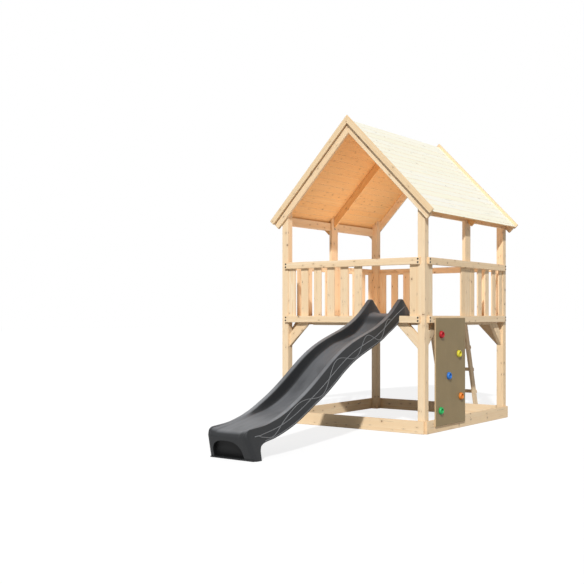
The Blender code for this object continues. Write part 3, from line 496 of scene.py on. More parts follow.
def settle(piece):
    """The piece's mesh with its modifiers worked in, as a new plain mesh."""
    bpy.context.view_layer.update()
    seen = piece.evaluated_get(bpy.context.evaluated_depsgraph_get())
    mesh = bpy.data.meshes.new_from_object(seen)
    bpy.data.objects.remove(piece, do_unlink=True)
    return mesh


def facing(along, across):
    """The turn that lays a board's length along one way and its width along another."""
    return Matrix((along, across, along.cross(across))).transposed().to_euler()


def lay_rows(name, board, rows, turn, uneven, finish, seed):
    """Rows of one board as a plain mesh; each row is (first middle, step, count)."""
    pattern = bpy.data.objects.new(name + "_pattern", board)
    piece = add_object(name + "_rows", bpy.data.meshes.new(name))
    for k, (first, step, count) in enumerate(rows):
        values = {"Board": pattern, "Count": count, "Start": first, "Step": step, "Turn": turn}
        values.update({"Unevenness": uneven, "Seed": seed + k, "Finish": finish})
        add_tree(piece, ROW_TREE, values)
    mesh = settle(piece)
    bpy.data.objects.remove(pattern, do_unlink=True)
    print(name + ":", sum(row[2] for row in rows), "boards,", len(mesh.polygons), "faces")
    return mesh


ROW_TREE = make_row_tree()

# %% [markdown]
# ## The roof
# Each slope is close-boarded with narrow boards whose eased edges make a thin V at every
# joint. The row steps down the slope by the cover of one board, and a last narrow strip
# closes the eaves. The top board of each slope is cut plumb where the slopes meet.

# %% Roof boards
SHIFT = 1.17  # the tower's middle, back from the frame's origin
HALF_WIDTH, HALF_DEPTH, POST, FIT = 0.994, 1.088, 0.090, 0.0003
COVER, ROOF_THICK, SLOPE_LENGTH = 0.0914, 0.018, 1.6001
ROOF_ARRIS, RIDGE_ARRIS, ROOF_JOINT = 0.0014, 0.0022, 0.0004
LOOKS_DOWN = -0.3  # a face whose normal points lower than this
FULL_BOARDS = int(SLOPE_LENGTH / COVER)
STRIP = SLOPE_LENGTH - FULL_BOARDS * COVER
roof_low, roof_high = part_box("roof_boards_left")
RIDGE, ROOF_REACH = roof_high.z, (roof_high.y - roof_low.y) / 2


def roof_spot(side, down, lift):
    out = Vector((SIGN[side] * math.sin(PITCH), 0, math.cos(PITCH)))
    return Vector((SIGN[side] * FIT / 2, SHIFT, RIDGE)) + SLOPE[side] * down + out * lift


def finish_roof(word, side, mesh, nodes=()):
    """Faces that look down, under the roof, wear the orange pine: painted warm bounce light in shade.
    """
    for face in mesh.polygons:
        face.material_index = 1 if face.normal.z < LOOKS_DOWN else 0
    # The other faces wear the near white roof pine: painted sunlight.
    finish_piece(word + "_" + side, mesh, [SUNLIT_ROOF_PINE, BOUNCE_LIT_PINE], nodes)


def lay_slope(word, side, width, down, count, seed):
    """Boards of one width; the first one's middle is this far down the slope."""
    board = plain_board("roof_board", (2 * ROOF_REACH, width, ROOF_THICK), ROOF_ARRIS)
    rows = [(roof_spot(side, down, -ROOF_THICK / 2), SLOPE[side] * COVER, count)]
    turn = facing(Y, SLOPE[side] * -SIGN[side])
    return lay_rows(word + "_" + side, board, rows, turn, (0.0002, 0.0, 0.0002), SUNLIT_ROOF_PINE, seed)


def loft(shape, rings):
    """Faces from ring to ring, after one on each end; a ring is a list of spots."""
    rings = [[shape.verts.new(spot) for spot in ring] for ring in rings]
    faces = [shape.faces.new(rings[0]), shape.faces.new(rings[-1])]
    for near, far in zip(rings, rings[1:]):
        for i in range(len(near)):
            j = (i + 1) % len(near)
            faces.append(shape.faces.new((near[i], near[j], far[j], far[i])))
    return faces


def make_ridge_board(side):
    """The topmost board, with its upper edge cut plumb."""
    plumb = ROOF_THICK * math.tan(PITCH)
    outline = [(0.0, 0.0), (COVER, 0.0), (COVER, -ROOF_THICK), (plumb, -ROOF_THICK)]
    ends = [Y * -ROOF_REACH, Y * ROOF_REACH]
    shape = bmesh.new()
    loft(shape, [[roof_spot(side, down, lift) + end for down, lift in outline] for end in ends])
    ease(shape, RIDGE_ARRIS, segments=1)
    return add_grain(shape_to_mesh(shape, "ridge_board_" + side), Y, SLOPE[side], next_board())


for side in ("left", "right"):
    mesh = lay_slope("roof_boards", side, COVER - ROOF_JOINT, 1.5 * COVER, FULL_BOARDS - 1, 11)
    finish_roof("roof_planks", side, mesh, ["roof_boards_" + side])
    finish_roof("ridge_plank", side, make_ridge_board(side))
    mesh = lay_slope("eaves_strip", side, STRIP, FULL_BOARDS * COVER + STRIP / 2, 1, 5)
    finish_roof("eaves_plank", side, mesh)

# %% [markdown]
# ## The floor
# Fourteen boards run from side to side between the posts, with one narrower board outside them at
# the front and back. They are notched round the two middle posts, which stand on the beams below,
# so the finished rows are cut once with a Boolean.

# %% Floor boards
FLOOR_TOP, FLOOR_THICK, FLOOR_COUNT, FLOOR_JOINT = 1.3145, 0.020, 14, 0.0006
NOTCH = 0.2  # size of the box that cuts a notch, more than the notch needs
LEVEL = (0, 0, 0)


def cut_away(name, mesh, cutter_mesh):
    """The mesh with another one cut out of it."""
    body, cutter = add_object(name, mesh), add_object(name + "_cutter", cutter_mesh)
    cut = body.modifiers.new("cut", "BOOLEAN")
    cut.operation, cut.solver, cut.object = "DIFFERENCE", "EXACT", cutter
    mesh = settle(body)
    bpy.data.objects.remove(cutter, do_unlink=True)
    return mesh


floor_low, floor_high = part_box("floor_boards")
inner_depth = HALF_DEPTH - POST
cover = 2 * inner_depth / FLOOR_COUNT
level = FLOOR_TOP - FLOOR_THICK / 2
board = plain_board("floor_board", (floor_high.x - floor_low.x, cover - FLOOR_JOINT, FLOOR_THICK))
rows = [(Vector((0, SHIFT - inner_depth + cover / 2, level)), Y * cover, FLOOR_COUNT)]
mesh = lay_rows("floor", board, rows, LEVEL, (0.0, 0.0, 0.0002), SHADED_DECK_PINE, 21)

post_low, post_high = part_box("mid_post_left")
notch_start = -post_high.x - FIT
notches = bmesh.new()
for sign in (-1, 1):
    size = (NOTCH, post_high.y - post_low.y + 2 * FIT, NOTCH)
    add_box(notches, size, (sign * (notch_start + NOTCH / 2), SHIFT, FLOOR_TOP))
mesh = cut_away("floor_cut", mesh, shape_to_mesh(notches, "notches"))
finish_piece("floor_planks", mesh, [SHADED_DECK_PINE], ["floor_boards"])

edge_width = floor_high.y - SHIFT - inner_depth
edge_length = 2 * (HALF_WIDTH - POST - FIT)
board = plain_board("edge_board", (edge_length, edge_width - FLOOR_JOINT, FLOOR_THICK))
first = Vector((0, floor_low.y + edge_width / 2, level))
rows = [(first, Y * (floor_high.y - floor_low.y - edge_width), 2)]
mesh = lay_rows("floor_edges", board, rows, LEVEL, (0, 0, 0), SHADED_DECK_PINE, 31)
finish_piece("floor_edge_planks", mesh, [SHADED_DECK_PINE])

# %% [markdown]
# ## Railings and skirt boards
# A railing is a stout top rail, lapped and bolted to the posts, with slats behind it that
# reach down behind the skirt board. The slats are rows too: a run from each end, where the slide,
# the ladder and the climbing panel leave an opening between the runs.

# %% Rails, skirts and slats
RAIL_PROUD, RAIL_HEIGHT, RAIL_LAP, RAIL_ARRIS = 0.028, 0.080, 0.035, 0.004
SKIRT_BACK, TOP_RAIL_BACK = 0.007, 0.0083
HANDRAIL_TOP, WIDE_POST = 1.9695, 0.145
RAIL_BOTTOM, SKIRT_BOTTOM = HANDRAIL_TOP - RAIL_HEIGHT, FLOOR_TOP - RAIL_HEIGHT
SLAT_LONG, SLAT_WIDE, SLAT_THICK, SLAT_ARRIS = 0.675, 0.105, 0.018, 0.002
SLAT_STEP, SLAT_FACE, SLAT_FOOT = 0.192, 0.0073, 1.2445
OUT = {"front": -Y, "back": Y, "left": -X, "right": X}
FACE = {"front": HALF_DEPTH, "back": HALF_DEPTH, "left": HALF_WIDTH, "right": HALF_WIDTH}
LONG = {"front": HALF_WIDTH, "back": HALF_WIDTH, "left": HALF_DEPTH, "right": HALF_DEPTH}
MIDDLE = Vector((0, SHIFT, 0))


def side_spot(side, along, depth, height):
    """A place on one side: along it, in from the posts' outer face, and up."""
    return MIDDLE + ALONG[side] * along + OUT[side] * (FACE[side] - depth) + Z * height


def rail_board(side, back, bottom):
    size = (2 * (LONG[side] - POST + RAIL_LAP), RAIL_HEIGHT, RAIL_PROUD + back)
    middle = side_spot(side, 0.0, (back - RAIL_PROUD) / 2, bottom + RAIL_HEIGHT / 2)
    shape = bmesh.new()
    add_box(shape, size, middle, facing(ALONG[side], Z).to_matrix().to_4x4())
    ease(shape, RAIL_ARRIS, segments=3)
    return add_grain(shape_to_mesh(shape, "rail_" + side), ALONG[side], Z, next_board())


inner = {side: LONG[side] - POST - FIT for side in LONG}
beside = WIDE_POST / 2 + FIT  # from the middle of a long side
side_step = (inner["left"] - SLAT_WIDE - beside) / 4
runs = {
    "front": [(-inner["front"], SLAT_STEP, 6), (inner["front"] - SLAT_WIDE, SLAT_STEP, 1)],
    "back": [(-inner["back"], SLAT_STEP, 4), (inner["back"] - SLAT_WIDE - SLAT_STEP, SLAT_STEP, 2)],
    "left": [(-inner["left"], side_step, 5), (beside, side_step, 5)],
    "right": [(-inner["right"], 4 * side_step, 2), (beside, side_step, 5)],
}
for side, groups in runs.items():
    node = "railing_" + side
    mesh = rail_board(side, TOP_RAIL_BACK, RAIL_BOTTOM)
    finish_piece("top_rail_" + side, mesh, [PINE], [node])
    mesh = rail_board(side, SKIRT_BACK, SKIRT_BOTTOM)
    finish_piece("skirt_rail_" + side, mesh, [PINE], ["skirt_board_" + side])
    slat = plain_board("slat", (SLAT_LONG, SLAT_WIDE, SLAT_THICK), SLAT_ARRIS)
    depth, height = SLAT_FACE + SLAT_THICK / 2, SLAT_FOOT + SLAT_LONG / 2
    rows = []
    for start, step, count in groups:
        first = side_spot(side, start + SLAT_WIDE / 2, depth, height)
        rows.append((first, ALONG[side] * step, count))
    turn, uneven = facing(Z, ALONG[side]), (0.0, 0.0, 0.0012)
    mesh = lay_rows("slats_" + side, slat, rows, turn, uneven, PINE, 41)
    finish_piece("slats_" + side, mesh, [PINE], [node])

# %% [markdown]
# ## Rungs
# Three boards across the back of the leaning ladder rails: one short row whose step goes up and
# in, along the lean.

# %% Ladder rungs
RUNG_WIDE, RUNG_THICK, RUNG_ARRIS = 0.045, 0.020, 0.003
rung_low, rung_next = (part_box("ladder_rung_" + name) for name in ("low", "middle"))
rung_first = (rung_low[0] + rung_low[1]) / 2
rung_step = (rung_next[0] + rung_next[1]) / 2 - rung_first
rung_long = rung_low[1].x - rung_low[0].x
rung = plain_board("rung", (rung_long, RUNG_WIDE, RUNG_THICK), RUNG_ARRIS)
turn = facing(X, rung_step.normalized())
mesh = lay_rows("rungs", rung, [(rung_first, rung_step, 3)], turn, (0.0003, 0, 0), PINE, 51)
rungs = ["ladder_rung_low", "ladder_rung_middle", "ladder_rung_high"]
finish_piece("ladder_rungs", mesh, [PINE], rungs)

# %% [markdown]
# ## The slide
# The slide is one moulded shell: a channel with rolled rims and hanging skirts that dips, runs
# down in a long wave and ends in a boxy nose with an arch. The CAD solid has the
# same lines with few faces. Here its cross-section is rounded by cutting its corners twice and
# it is lofted through a ring every two centimetres, which gives full, smooth plastic curves.

# %% Lines of the slide
SLIDE_MIDDLE, REACH, HEAD, WALL = 0.435, 2.712, 0.288, 0.008
RIM_HALF, RIM_WIDTH, BANK_WIDTH = 0.230, 0.055, 0.025
NOSE_RIM_WIDTH, RIM_NARROWS = 0.022, 0.450
BED_ROUND, RIM_ROUND, FLARE = 0.030, 0.008, 0.175
NOSE_RADIUS, NOSE_LEAN, NOSE_PLATE, NOSE_HEIGHT, NOSE_RIM = 0.075, 0.085, 0.080, 0.266, 0.026
NOSE_CORNER = 0.030
LEG_BACK, LEG_BLEND = 0.170, 0.060
RIM_INNER = RIM_HALF - RIM_WIDTH
BED_HALF = RIM_INNER - BANK_WIDTH
SEAT = FLOOR_TOP + FIT
LIP = SEAT + WALL
NOSE_START = 1.0 - NOSE_RADIUS / REACH
BED_LINE = [
    (-HEAD / REACH, 1.0), (-0.0619, 1.0076), (-0.0251, 1.0151), (0.0125, 1.0015),
    (0.0553, 0.9214), (0.1327, 0.8286), (0.2098, 0.7865), (0.2802, 0.7557), (0.3503, 0.7010),
    (0.4200, 0.6295), (0.4864, 0.5418), (0.5490, 0.4522), (0.6117, 0.3755), (0.6740, 0.3186),
    (0.7330, 0.2835), (0.7883, 0.2653), (0.8636, 0.2409), (NOSE_START, NOSE_HEIGHT / LIP),
]
RIM_LINE = [
    (-HEAD / REACH, 1.0030), (-0.0700, 1.0711), (-0.0455, 1.1170), (-0.0375, 1.1335),
    (-0.0300, 1.1395), (-0.0225, 1.1370), (-0.0140, 1.1235), (0.0524, 1.0221), (0.1095, 0.9555),
    (0.1851, 0.8905), (0.2588, 0.8444), (0.3326, 0.7960), (0.4027, 0.7378), (0.4709, 0.6637),
    (0.5372, 0.5761), (0.6018, 0.4899), (0.6626, 0.4165), (0.7253, 0.3523), (0.7824, 0.3001),
    (0.8396, 0.2616), (0.8949, 0.2351), (NOSE_START, (NOSE_HEIGHT + NOSE_RIM) / LIP),
]
SKIRT_LINE = [
    ((RAIL_PROUD + FIT) / REACH, 0.9850), (0.0147, 0.9500), (0.0240, 0.9250), (0.0332, 0.9150),
    (0.0708, 0.8735), (0.1060, 0.8385), (0.1400, 0.8025), (0.2035, 0.7492), (0.2773, 0.6970),
    (0.3510, 0.6388), (0.4211, 0.5647), (0.4875, 0.4793), (0.5538, 0.3976), (0.6165, 0.3326),
    (0.6792, 0.2661), (0.7382, 0.2109), (0.7972, 0.1682), (0.8555, 0.1361), (0.9108, 0.1164),
    (1.0 - (LEG_BACK + 0.3 * LEG_BLEND) / REACH, 0.0945),
    (1.0 - (LEG_BACK + FIT) / REACH, 0.0567),
]
print("the slide's bed falls from", LIP, "to", NOSE_HEIGHT)

# %% [markdown]
# ## Rings of the slide
# At any distance out, three smooth curves give the bed, the rims and the lower edge of the
# skirts. Half a cross-section is a short chain of corners; cutting every corner at its quarter
# points, twice, rounds it without ever leaving the inside of the chain. The nose is made in the
# same loft, with solid rings, so that no seam shows where shell and nose meet.

# %% Cross-sections
def through_points(points, at):
    """A smooth curve through (distance, height) points that never overshoots them."""
    if at <= points[0][0]:
        return points[0][1]
    if at >= points[-1][0]:
        return points[-1][1]
    slopes = [(y1 - y0) / (x1 - x0) for (x0, y0), (x1, y1) in zip(points, points[1:])]
    tangents = [slopes[0]]
    for before, after in zip(slopes, slopes[1:]):
        tangents.append(0.0 if before * after <= 0 else 2 * before * after / (before + after))
    tangents.append(slopes[-1])
    i = max(k for k in range(len(points) - 1) if points[k][0] <= at)
    (x0, y0), (x1, y1) = points[i], points[i + 1]
    t = (at - x0) / (x1 - x0)
    bend = tangents[i] * (t - 2 * t**2 + t**3) + tangents[i + 1] * (t**3 - t**2)
    return y0 + (y1 - y0) * (3 * t**2 - 2 * t**3) + (x1 - x0) * bend


def slide_heights(run):
    """Bed, rim and lower edge of the skirts at one distance out from the posts."""
    lines = (BED_LINE, RIM_LINE, SKIRT_LINE)
    bed, rim, low = [LIP * through_points(line, run / REACH) for line in lines]
    if run <= RAIL_PROUD:
        low = SEAT
    if run >= REACH - LEG_BACK:
        low = 0.0
    past = run - (REACH - NOSE_RADIUS)
    if past > 0:
        drop = NOSE_RADIUS - math.sqrt(max(NOSE_RADIUS**2 - past**2, 0.0))
        bed, rim = bed - drop, rim - drop
    return bed, rim, low


def part_way(near, far, share):
    return tuple(a + (b - a) * share for a, b in zip(near, far))


def half_section(run, solid):
    """Half of the slide's cross-section, from the middle of the bed round to its underside. A
    corner that stays crisp has a second point close by, so that little is cut from it."""
    bed, rim, low = slide_heights(run)
    rise = rim - bed
    round_in, round_rim = min(BED_ROUND, 0.45 * rise), min(RIM_ROUND, 0.35 * rise)
    bank_low, bank_high = BED_HALF - 0.4 * BANK_WIDTH, BED_HALF + 0.24 * BANK_WIDTH
    narrow = min(max((run - REACH + RIM_NARROWS) / (RIM_NARROWS - NOSE_RADIUS), 0.0), 1.0)
    rim_in = RIM_INNER + narrow * (RIM_WIDTH - NOSE_RIM_WIDTH)
    rim_wide = RIM_HALF - rim_in
    edge = RIM_HALF + FLARE * (rim - low)
    half_down = (rim + low) / 2
    half_out = RIM_HALF + FLARE * (rim - half_down)
    tuck = min(1.5 * WALL, (rim - low) * 0.4)
    bank_top = (bank_high, bed + round_in)
    rim_inner_edge = (rim_in - 0.08 * rim_wide, rim - round_rim)
    rim_outer_edge = (RIM_HALF + FLARE * round_rim, rim - round_rim)
    top = [
        (0.0, bed),
        (BED_HALF * 0.6, bed),
        (bank_low, bed + 0.2 * round_in),
        bank_top,
        part_way(rim_inner_edge, bank_top, 0.15),
        rim_inner_edge,
        (rim_in + 0.16 * rim_wide, rim - 0.15 * round_rim),
        ((rim_in + RIM_HALF) / 2, rim),
        (RIM_HALF - 0.12 * rim_wide, rim - 0.15 * round_rim),
        rim_outer_edge,
        part_way(rim_outer_edge, (half_out, half_down), 0.15),
        (half_out, half_down),
        (edge, low),
    ]
    under = [
        (edge - WALL, low),
        (half_out - WALL, half_down),
        (RIM_HALF - WALL, rim - tuck),
        (rim_in + WALL, rim - tuck),
        (bank_high + WALL, bed + round_in - WALL),
        (bank_low + 0.3 * WALL, bed - 0.8 * WALL),
        (BED_HALF * 0.6, bed - WALL),
        (0.0, bed - WALL),
    ]
    if solid:
        under = [(x, low) for x, z in under]
    return top + [(x, max(z, low)) for x, z in under]


def cut_corners(chain):
    """Round an open chain: every corner is replaced by two points at its sides' quarters."""
    rounded = [chain[0]]
    for (x0, z0), (x1, z1) in zip(chain, chain[1:]):
        rounded.append((0.75 * x0 + 0.25 * x1, 0.75 * z0 + 0.25 * z1))
        rounded.append((0.25 * x0 + 0.75 * x1, 0.25 * z0 + 0.75 * z1))
    return rounded + [chain[-1]]


def lean_back(run, z):
    """The nose leans: its foot stands back under its top."""
    lean = NOSE_LEAN * (1.0 - min(z / (NOSE_HEIGHT + NOSE_RIM - NOSE_RADIUS), 1.0))
    share = (run - (REACH - LEG_BACK)) / (LEG_BACK - NOSE_PLATE)
    return run - min(max(share, 0.0), 1.0) * lean


def slide_spot(run, x, z):
    return Vector((SLIDE_MIDDLE + x, SHIFT - HALF_DEPTH - lean_back(run, z), z))


def slide_ring(run, solid):
    past = max(run - (REACH - NOSE_CORNER), 0.0)
    drawn_in = 1.0 - (NOSE_CORNER - math.sqrt(max(NOSE_CORNER**2 - past**2, 0.0))) / RIM_HALF
    half = [(x * drawn_in, z) for x, z in cut_corners(cut_corners(half_section(run, solid)))]
    whole = half + [(-x, z) for x, z in half[-2:0:-1]]
    return [slide_spot(run, x, z) for x, z in whole]


print("points in a ring:", len(slide_ring(1.0, False)))

# %% [markdown]
# ## Lofting the slide
# A loft joins ring to ring with quads and caps the two ends. Rings stand closer where the shape
# changes fast: over the hood at the top, at the leg and round the nose. The arch is then cut out
# of the nose with a Boolean, and the faces of that recess keep a number for a near-black finish
# of their own: painted shade in the hollow.

# %% Slide shell
RING_STEP, HOOD_STEP, LEG_STEP, NOSE_STEP = 0.020, 0.0085, 0.008, 0.014
LEG_EDGE = 0.004
SLIDE_SHARP = 38.0  # degrees; over sharper edges the shading isn't smooth


def spread(start, end, step=RING_STEP):
    count = max(1, round((end - start) / step))
    return [start + (end - start) * k / count for k in range(count)]


def add_empty_finishes(mesh, worn):
    """Two finishes to fill in later, and which of them every face wears."""
    mesh.materials.append(None)
    mesh.materials.append(None)
    mesh.polygons.foreach_set("material_index", [worn] * len(mesh.polygons))
    return mesh


def smooth(mesh, sharp=None):
    """Smooth shading, except over edges sharper than so many degrees."""
    mesh.shade_smooth()
    if sharp:
        mesh.set_sharp_from_angle(angle=math.radians(sharp))
    return mesh


leg, plate = REACH - LEG_BACK, REACH - NOSE_PLATE
shell_runs = spread(-HEAD, RAIL_PROUD, HOOD_STEP) + [RAIL_PROUD, RAIL_PROUD + FIT]
shell_runs += spread(RAIL_PROUD + FIT, leg - LEG_BLEND)[1:]
shell_runs += spread(leg - LEG_BLEND, leg - LEG_EDGE, LEG_STEP) + [leg - LEG_EDGE, leg - FIT]
shell_runs += spread(leg, plate - FIT, NOSE_STEP) + [plate - FIT]
nose_arcs = [math.sin(math.radians(angle)) for angle in range(0, 91, 9)]
nose_runs = [plate] + [REACH - NOSE_RADIUS + NOSE_RADIUS * arc for arc in nose_arcs]
sections = [slide_ring(run, False) for run in shell_runs]
sections += [slide_ring(run, True) for run in nose_runs]
slide_shape = bmesh.new()
loft(slide_shape, sections)
slide_mesh = add_empty_finishes(shape_to_mesh(slide_shape, "slide_shell"), 0)
print("slide rings:", len(sections), "faces:", len(slide_mesh.polygons))

# %% Nose arch
ARCH_HALF, ARCH_HEIGHT, ARCH_DEPTH, ARCH_SHIFT = 0.180, 0.160, 0.045, -0.032
TOE_THICK, TOE_REACH, TOE_ARRIS, ARCH_SILL = 0.012, 0.014, 0.004, 0.004
ARCH_STEPS, ARCH_ROUND = 40, 0.75  # a power under 1 makes the arch squarer than an ellipse


def make_arch_cutter():
    foot = TOE_THICK + ARCH_SILL
    outline = [(ARCH_HALF, foot), (-ARCH_HALF, foot)]
    for k in range(1, ARCH_STEPS):
        angle = math.pi * (1 - k / ARCH_STEPS)
        flat = math.copysign(abs(math.cos(angle)) ** ARCH_ROUND, math.cos(angle))
        outline.append((ARCH_HALF * flat, foot + ARCH_HEIGHT * math.sin(angle) ** ARCH_ROUND))
    face = [slide_spot(REACH, x + ARCH_SHIFT, z) for x, z in outline]
    shape = bmesh.new()
    loft(shape, [[spot + Y * depth for spot in face] for depth in (-NOSE_PLATE, ARCH_DEPTH)])
    return add_empty_finishes(shape_to_mesh(shape, "arch_cutter"), 1)


slide_mesh = smooth(cut_away("slide_body", slide_mesh, make_arch_cutter()), SLIDE_SHARP)
recess = sum(face.material_index for face in slide_mesh.polygons)
print("slide faces after the arch:", len(slide_mesh.polygons), "in the recess:", recess)

# %% [markdown]
# ## Moulded plastic
# Moulded plastic is coloured right through. Its skin is slightly rough, with a fine orange-peel,
# and use shows as long fine scratches down the bed, only on faces that look up, where feet and
# hands go; noise breaks them up. Faces that look up are also painted paler, a painted sheen, and
# the tops of the rims paler still, a painted highlight.

# %% Plastic finishes
# Where the painted highlight on the rims fades in, and fades out again.
HIGHLIGHT_START, HIGHLIGHT_END = (-2.35, -2.00), (-1.50, -0.30)  # along the rims, from the nose to the top


def make_plastic(name, colour, roughness, scuffs, scale=1.0, up_sheen=None, rim_highlight=None):
    """Moulded plastic. Upward faces may be painted paler towards a second colour, a painted sheen,
    and the tops of the slide's rims towards a third, a painted highlight."""
    finish, start, shader = start_finish(name)
    place = start.spot()
    peel = place.noise(420.0 * scale)
    cloud = place.noise((6.0 * scale, 3.0 * scale, 6.0 * scale), 3.0)
    scratch = place.noise((260.0 * scale, 5.0 * scale, 9.0 * scale), 2.0, 0.7).step(0.60, 0.74)
    level = start.node("ShaderNodeNewGeometry", out="Normal").parts()[2]
    facing_up = level.step(0.3, 0.9)
    worn = scratch * facing_up * cloud.step(0.35, 0.65)
    paint = start.paint(colour)
    if up_sheen:
        # Upward faces are painted paler, in streaks: a painted sheen of the bright sky.
        sheen_streaks = place.noise((26.0, 1.6, 3.0)) * 0.5 + 0.72
        paint = paint.towards(up_sheen, level.step(0.60, 0.98) * sheen_streaks.least(1.0))
    if rim_highlight:
        # The tops of the rims are painted paler still: a painted highlight that fades in and out along
        # them.
        across, along, _ = place.parts()
        on_rim = (across - SLIDE_MIDDLE).size().step(RIM_INNER - 0.006, RIM_INNER + 0.004)
        highlight_along = along.step(*HIGHLIGHT_START) * along.step(*HIGHLIGHT_END, 1.0, 0.30)
        paint = paint.towards(rim_highlight, on_rim * highlight_along * level.step(0.74, 0.96))
    paint = paint.towards([0.75 * c + 0.16 for c in colour], worn * scuffs)
    paint = paint.towards([c * 0.82 for c in colour], cloud.step(0.45, 0.7) * 0.25)
    rough = roughness + cloud * 0.10 - 0.05 + worn * 0.18
    show(start, shader, paint, rough, peel * 0.6 - scratch * facing_up * 0.5, 0.0003, 0.35)
    shader.inputs["Specular IOR Level"].default_value = 0.25
    return finish


# A painted sheen for faces that look up, and a painted highlight for the rims' tops.
UP_SHEEN, RIM_HIGHLIGHT = (0.150, 0.155, 0.165), (0.240, 0.248, 0.262)
GREY_PLASTIC = make_plastic("grey_plastic", (0.024, 0.0252, 0.027), 0.42, 0.30, 1.0, UP_SHEEN, RIM_HIGHLIGHT)
# Near-black plastic for the arch's recess: painted shade in the hollow.
RECESS_SHADE_PLASTIC = make_plastic("painted_shade_recess", (0.0060, 0.0062, 0.0065), 0.60, 0.10)
TOE_PLASTIC = make_plastic("toe_plastic", (0.016, 0.0165, 0.0175), 0.50, 0.20)
# Pale grey plastic for the ribs: a painted highlight along them.
RIB_HIGHLIGHT_PLASTIC = make_plastic("rib_highlight_plastic", (0.180, 0.184, 0.190), 0.40, 0.30)
print("slide finish:", GREY_PLASTIC.name)

# %% Slide pieces
finishes = [GREY_PLASTIC, RECESS_SHADE_PLASTIC]
finish_piece("slide_shell", slide_mesh, finishes, ["slide"])
toe_half = RIM_HALF + FLARE * NOSE_HEIGHT - NOSE_CORNER / 2
toe_middle = Vector((0, (NOSE_PLATE / 2 - TOE_REACH) / 2, TOE_THICK / 2))
toe_shape = bmesh.new()
toe_size = (2 * toe_half, NOSE_PLATE / 2 + TOE_REACH, TOE_THICK)
add_box(toe_shape, toe_size, slide_spot(REACH, 0.0, 0.0) + toe_middle)
ease(toe_shape, TOE_ARRIS, segments=3)
toe_mesh = smooth(shape_to_mesh(toe_shape, "slide_toe"))
finish_piece("slide_toe", toe_mesh, [TOE_PLASTIC])

# %% [markdown]
# ## Raised lines on the skirts
# A thin rib follows the middle of each skirt, a second one waves round it, and a third runs
# just above the lower edge; they stiffen the skirt and catch the light, and their paler plastic
# is a painted highlight. Each is a path on the skirt's surface. A tree resamples the path and
# sweeps a small round profile along it, a little more than half sunk in the skirt. The wave has a
# fixed rule: its phase passes through steps of half a turn at set distances down the slide.

# %% Rib tree and paths
def make_rib_tree():
    tree, given, exit_node = new_tree(
        "rib_along_path", Radius="Float", Spacing="Float", Sides="Int", Finish="Material"
    )
    start = given["Geometry"]
    curve = start.node("GeometryNodeMeshToCurve", {"Mesh": start}, "Curve")
    inputs = {"Curve": curve, "Length": given["Spacing"]}
    curve = start.node("GeometryNodeResampleCurve", inputs, mode="LENGTH")
    inputs = {"Resolution": given["Sides"], "Radius": given["Radius"]}
    profile = start.node("GeometryNodeCurvePrimitiveCircle", inputs, mode="RADIUS")
    inputs = {"Curve": curve, "Profile Curve": profile, "Fill Caps": True}
    rib = start.node("GeometryNodeCurveToMesh", inputs)
    tree.links.new(real_shape(rib, given["Finish"]).socket, exit_node.inputs[0])
    return tree


RIB_TREE = make_rib_tree()
RIB_STEP, RIB_SPACING, RIB_SIDES, RIB_SUNK = 0.02, 0.016, 8, 0.0012
RIB_RADIUS, LOW_RADIUS, LOW_SHARE = 0.0042, 0.0037, 0.085
WAVE_MIDDLE, WAVE_SWING = 0.52, 0.37  # shares of the skirt's height
TURNS = [
    (0.14, 8.6), (0.25, 8.0), (0.44, 7.0), (0.68, 6.0), (0.93, 5.0),
    (1.27, 4.0), (1.55, 3.0), (1.94, 2.0), (2.19, 1.53),
    (2.355, 1.0), (2.457, 0.70), (2.60, 0.38),
]
STRAIGHT_HEIGHTS = [
    (-0.095, 1.418), (0.05, 1.343), (0.12, 1.303), (0.245, 1.232), (0.36, 1.166), (0.47, 1.113),
]
STRAIGHT_SHARES = [(0.47, 0.52), (0.66, 0.50), (2.18, 0.50), (2.37, 0.53), (2.50, 0.53)]
RIBS_MEET = (2.60, 0.220)  # how far out, and how high up, the two ribs run together
MEETING = 2.50  # from here on they bend towards that place


def skirt_spot(run, share, sign):
    """A place on the outside of a skirt: how far out, and how high up its face."""
    _, rim, low = slide_heights(min(run, MEETING))
    z = low + share * (rim - low)
    if run > MEETING:
        part = (run - MEETING) / (RIBS_MEET[0] - MEETING)
        z += (RIBS_MEET[1] - z) * part
        rim = slide_heights(run)[1]
    return slide_spot(run, sign * (RIM_HALF + FLARE * (rim - z) - RIB_SUNK), z)


def straight_share(run):
    """Near the hood this rib keeps a straight line of its own; further down, its share."""
    if run > STRAIGHT_HEIGHTS[-1][0]:
        return through_points(STRAIGHT_SHARES, run)
    _, rim, low = slide_heights(run)
    return (through_points(STRAIGHT_HEIGHTS, run) - low) / (rim - low)


def wave_share(run):
    return WAVE_MIDDLE + WAVE_SWING * math.cos(math.pi * through_points(TURNS, run))


